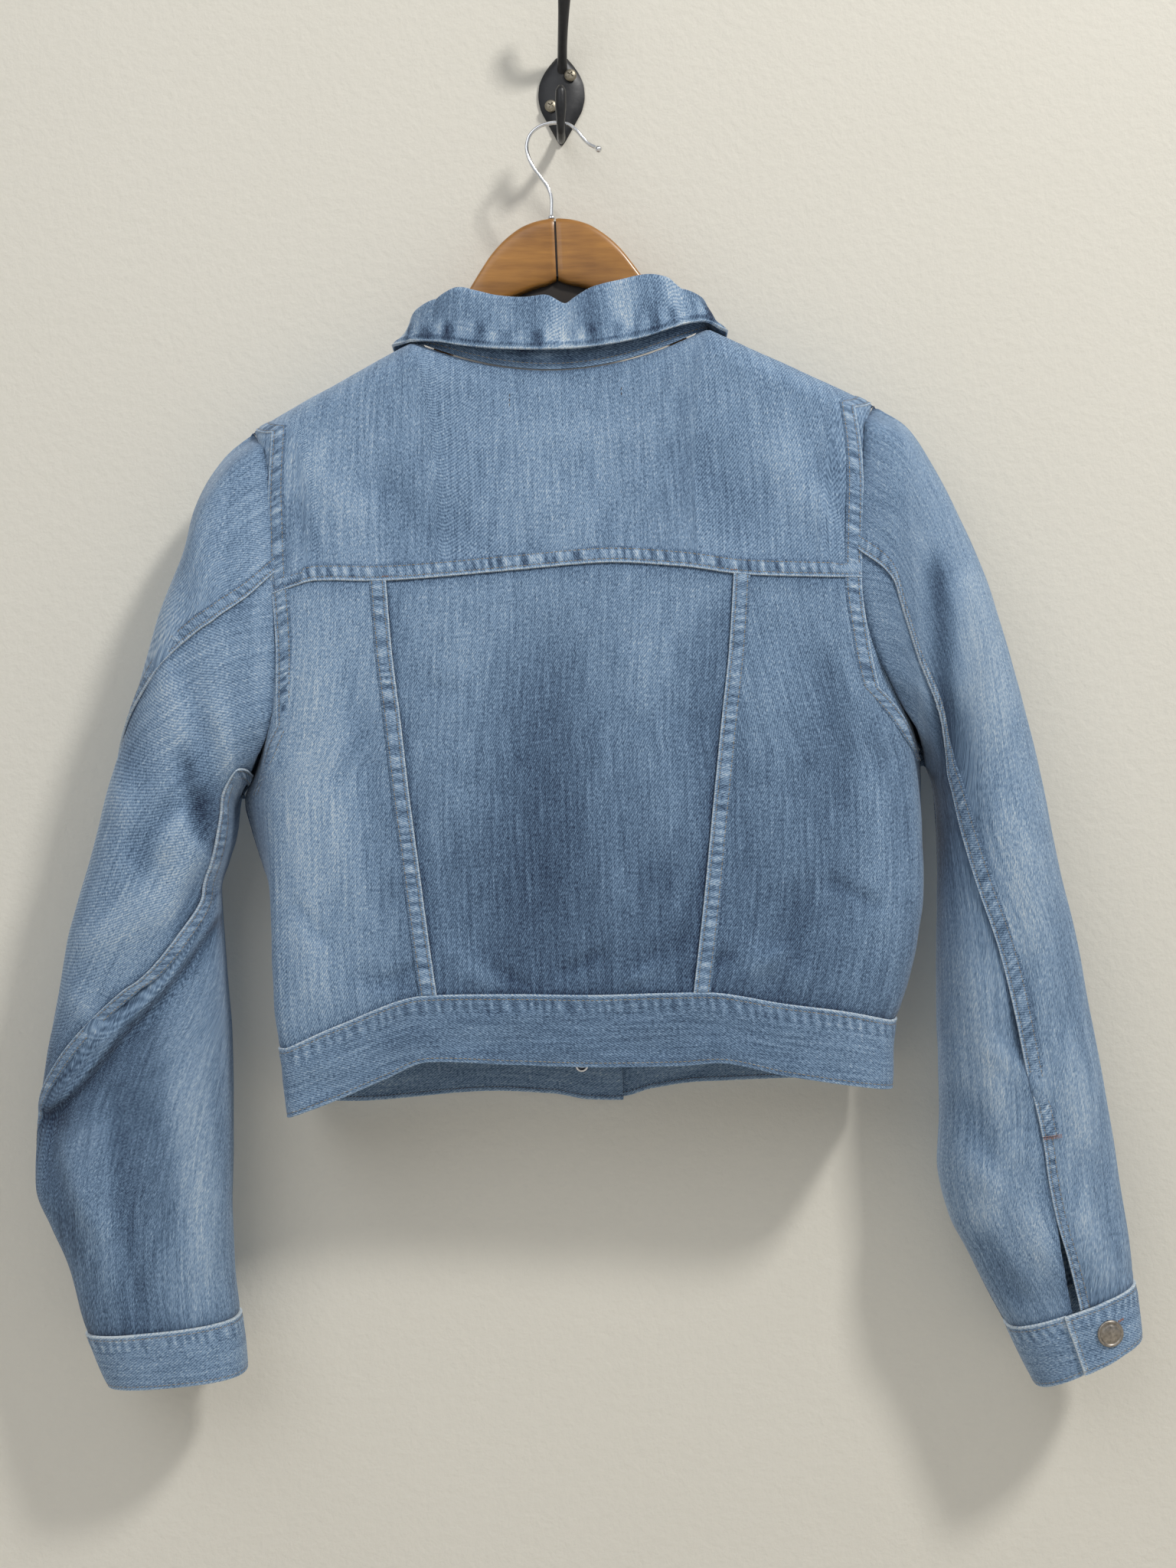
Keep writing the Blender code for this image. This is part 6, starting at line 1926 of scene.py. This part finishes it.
# ------------------------------------------------------------------ room
@dataclass
class Studio:
    """The wall, the floor, the lights and the camera."""
    camera_at: tuple = (0.0178, -1.340, -0.4585)
    lens: float = 45.777
    floor_drop: float = 0.27

    def wall_finish(self) -> Material:
        """Pale matt paint, seen from the room's side only."""
        s = Shader("wall_paint")
        broad = s.noise(s.spot(), 2.2, 3.0)
        fine = s.noise(s.spot(), 150.0, 5.0, 0.62)
        colour = s.mix(broad, (0.62, 0.59, 0.515), (0.67, 0.64, 0.57))
        s.dress(Base_Color=colour, Roughness=0.85, Normal=s.bump(fine, 0.42, 0.0016))
        path = s.tree.nodes.new("ShaderNodeLightPath")
        behind = s.node("ShaderNodeNewGeometry", {}, {}, "Backfacing")
        clear = s.node("ShaderNodeMath", {"operation": "MAXIMUM"},
                       {0: behind, 1: Socket(s, path.outputs["Is Shadow Ray"])})
        hole = s.node("ShaderNodeBsdfTransparent")
        shown = s.node("ShaderNodeMixShader", {}, {0: clear, 1: Socket(s, s.main.outputs[0]), 2: hole})
        s.tree.links.new(shown.link, s.tree.nodes["Material Output"].inputs[0])
        return s.material

    def board(self, name: str, size: float, matrix: Matrix, finish: Material) -> None:
        """A flat square of the room."""
        bm = bmesh.new()
        bmesh.ops.create_grid(bm, x_segments=1, y_segments=1, size=size / 2, matrix=matrix)
        mesh = to_mesh(name, bm)
        mesh.materials.append(finish)
        board = linked(name, mesh)
        board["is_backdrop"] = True

    def lamp(self, name: str, at: tuple, toward: tuple, size: float, watts: float, colour: tuple) -> None:
        """A square soft light aimed at a place."""
        light = bpy.data.lights.new(name, "AREA")
        light.shape, light.size, light.energy, light.color = "SQUARE", size, watts, colour
        lamp = linked(name, light)
        lamp.location = at
        lamp.rotation_euler = (Vector(toward) - Vector(at)).to_track_quat("-Z", "Y").to_euler()

    def build(self) -> None:
        """Makes the room round the object."""
        low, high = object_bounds()
        paint = self.wall_finish()
        middle = (low + high) / 2
        self.board("wall", 6.0, Matrix.Translation((middle.x, 0.0006, middle.z)) @ Matrix.Rotation(
            math.pi / 2, 4, "X"), paint)
        floor = Plain("floor_paint", (0.55, 0.52, 0.47), (0.60, 0.57, 0.52), 0.7, grain=(20, 20, 20)).make()
        self.board("floor", 6.0, Matrix.Translation((middle.x, -0.5, low.z - self.floor_drop)), floor)
        heart = tuple(middle)
        above = (heart[0], heart[1], heart[2] + 0.2)
        self.lamp("key", (1.55, -1.75, 1.75), above, 0.38, 66, (1.0, 0.985, 0.95))
        self.lamp("fill", (-1.1, -2.4, 1.1), heart, 2.0, 20, (0.96, 0.98, 1.0))
        self.lamp("rear", (-0.9, 2.2, 0.5), heart, 1.8, 40, (1.0, 1.0, 1.0))
        world = bpy.data.worlds.new("room")
        world.use_nodes = True
        world.node_tree.nodes["Background"].inputs["Color"].default_value = (0.86, 0.90, 0.96, 1.0)
        world.node_tree.nodes["Background"].inputs["Strength"].default_value = 0.48
        bpy.context.scene.world = world
        camera = bpy.data.cameras.new("camera")
        camera.lens, camera.sensor_width = self.lens, 36.0
        camera.clip_start, camera.clip_end = 0.05, 50.0
        seat = linked("camera", camera)
        seat.location = self.camera_at
        seat.rotation_euler = (math.pi / 2, 0.0, 0.0)
        bpy.context.scene.camera = seat
        bpy.context.scene.view_settings.view_transform = "Standard"


def materials() -> dict[str, Material]:
    """Every finish of the object by its short name."""
    made = {"denim": Denim("washed_denim").make()}
    for thread in Thread:
        dark = tuple(c * 0.6 for c in thread.value)
        made[thread.name.lower()] = Plain(f"thread_{thread.name.lower()}", dark, thread.value, 0.8,
                                          grain=(900, 900, 900), bumpy=0.00004).make()
    made["wood"] = Plain("varnished_wood", (0.185, 0.072, 0.010), (0.40, 0.178, 0.030), 0.36, 0.0,
                         (30, 160, 300), 0.00006, 0.3, 0.12).make()
    # Nearly black brown: the joint's own dark colour, and painted shade on the hanger's underside.
    made["stain"] = Plain("dark_joint", (0.010, 0.006, 0.004), (0.022, 0.014, 0.009), 0.7).make()
    made["chrome"] = Plain("bright_wire", (0.62, 0.62, 0.63), (0.80, 0.80, 0.80), 0.16, 1.0).make()
    made["iron"] = Plain("black_casting", (0.006, 0.006, 0.007), (0.018, 0.018, 0.020), 0.42, 0.2,
                         (420, 420, 420), 0.00016).make()
    made["brass"] = Plain("worn_brass", (0.13, 0.11, 0.08), (0.40, 0.36, 0.28), 0.45, 0.9,
                          (500, 500, 500), 0.00008).make()
    made["pewter"] = Plain("antique_pewter", (0.10, 0.085, 0.070), (0.42, 0.38, 0.33), 0.36, 0.95,
                           (420, 420, 420), 0.00010).make()
    made["tack"] = Plain("plain_silver", (0.55, 0.55, 0.56), (0.80, 0.80, 0.80), 0.25, 1.0).make()
    return made


def main() -> None:
    """Builds every sub-assembly in order."""
    logging.basicConfig(level=logging.INFO, format="%(message)s")
    shop = Shop(materials(), Needle())
    parts = [Torso(shop), Waistband(shop), Collar(shop), Arm(shop, -1), Arm(shop, 1), Buttons(shop),
             Hanger(shop), WallHook(shop)]
    for part in parts:
        part.build()
        LOG.info("%s built", type(part).__name__)
    for piece in shop.needle.make(shop.finish):
        LOG.info("%s: %d faces", piece.name, len(piece.data.polygons))
    Studio().build()
    bpy.context.view_layer.update()


if __name__ == "__main__":
    main()
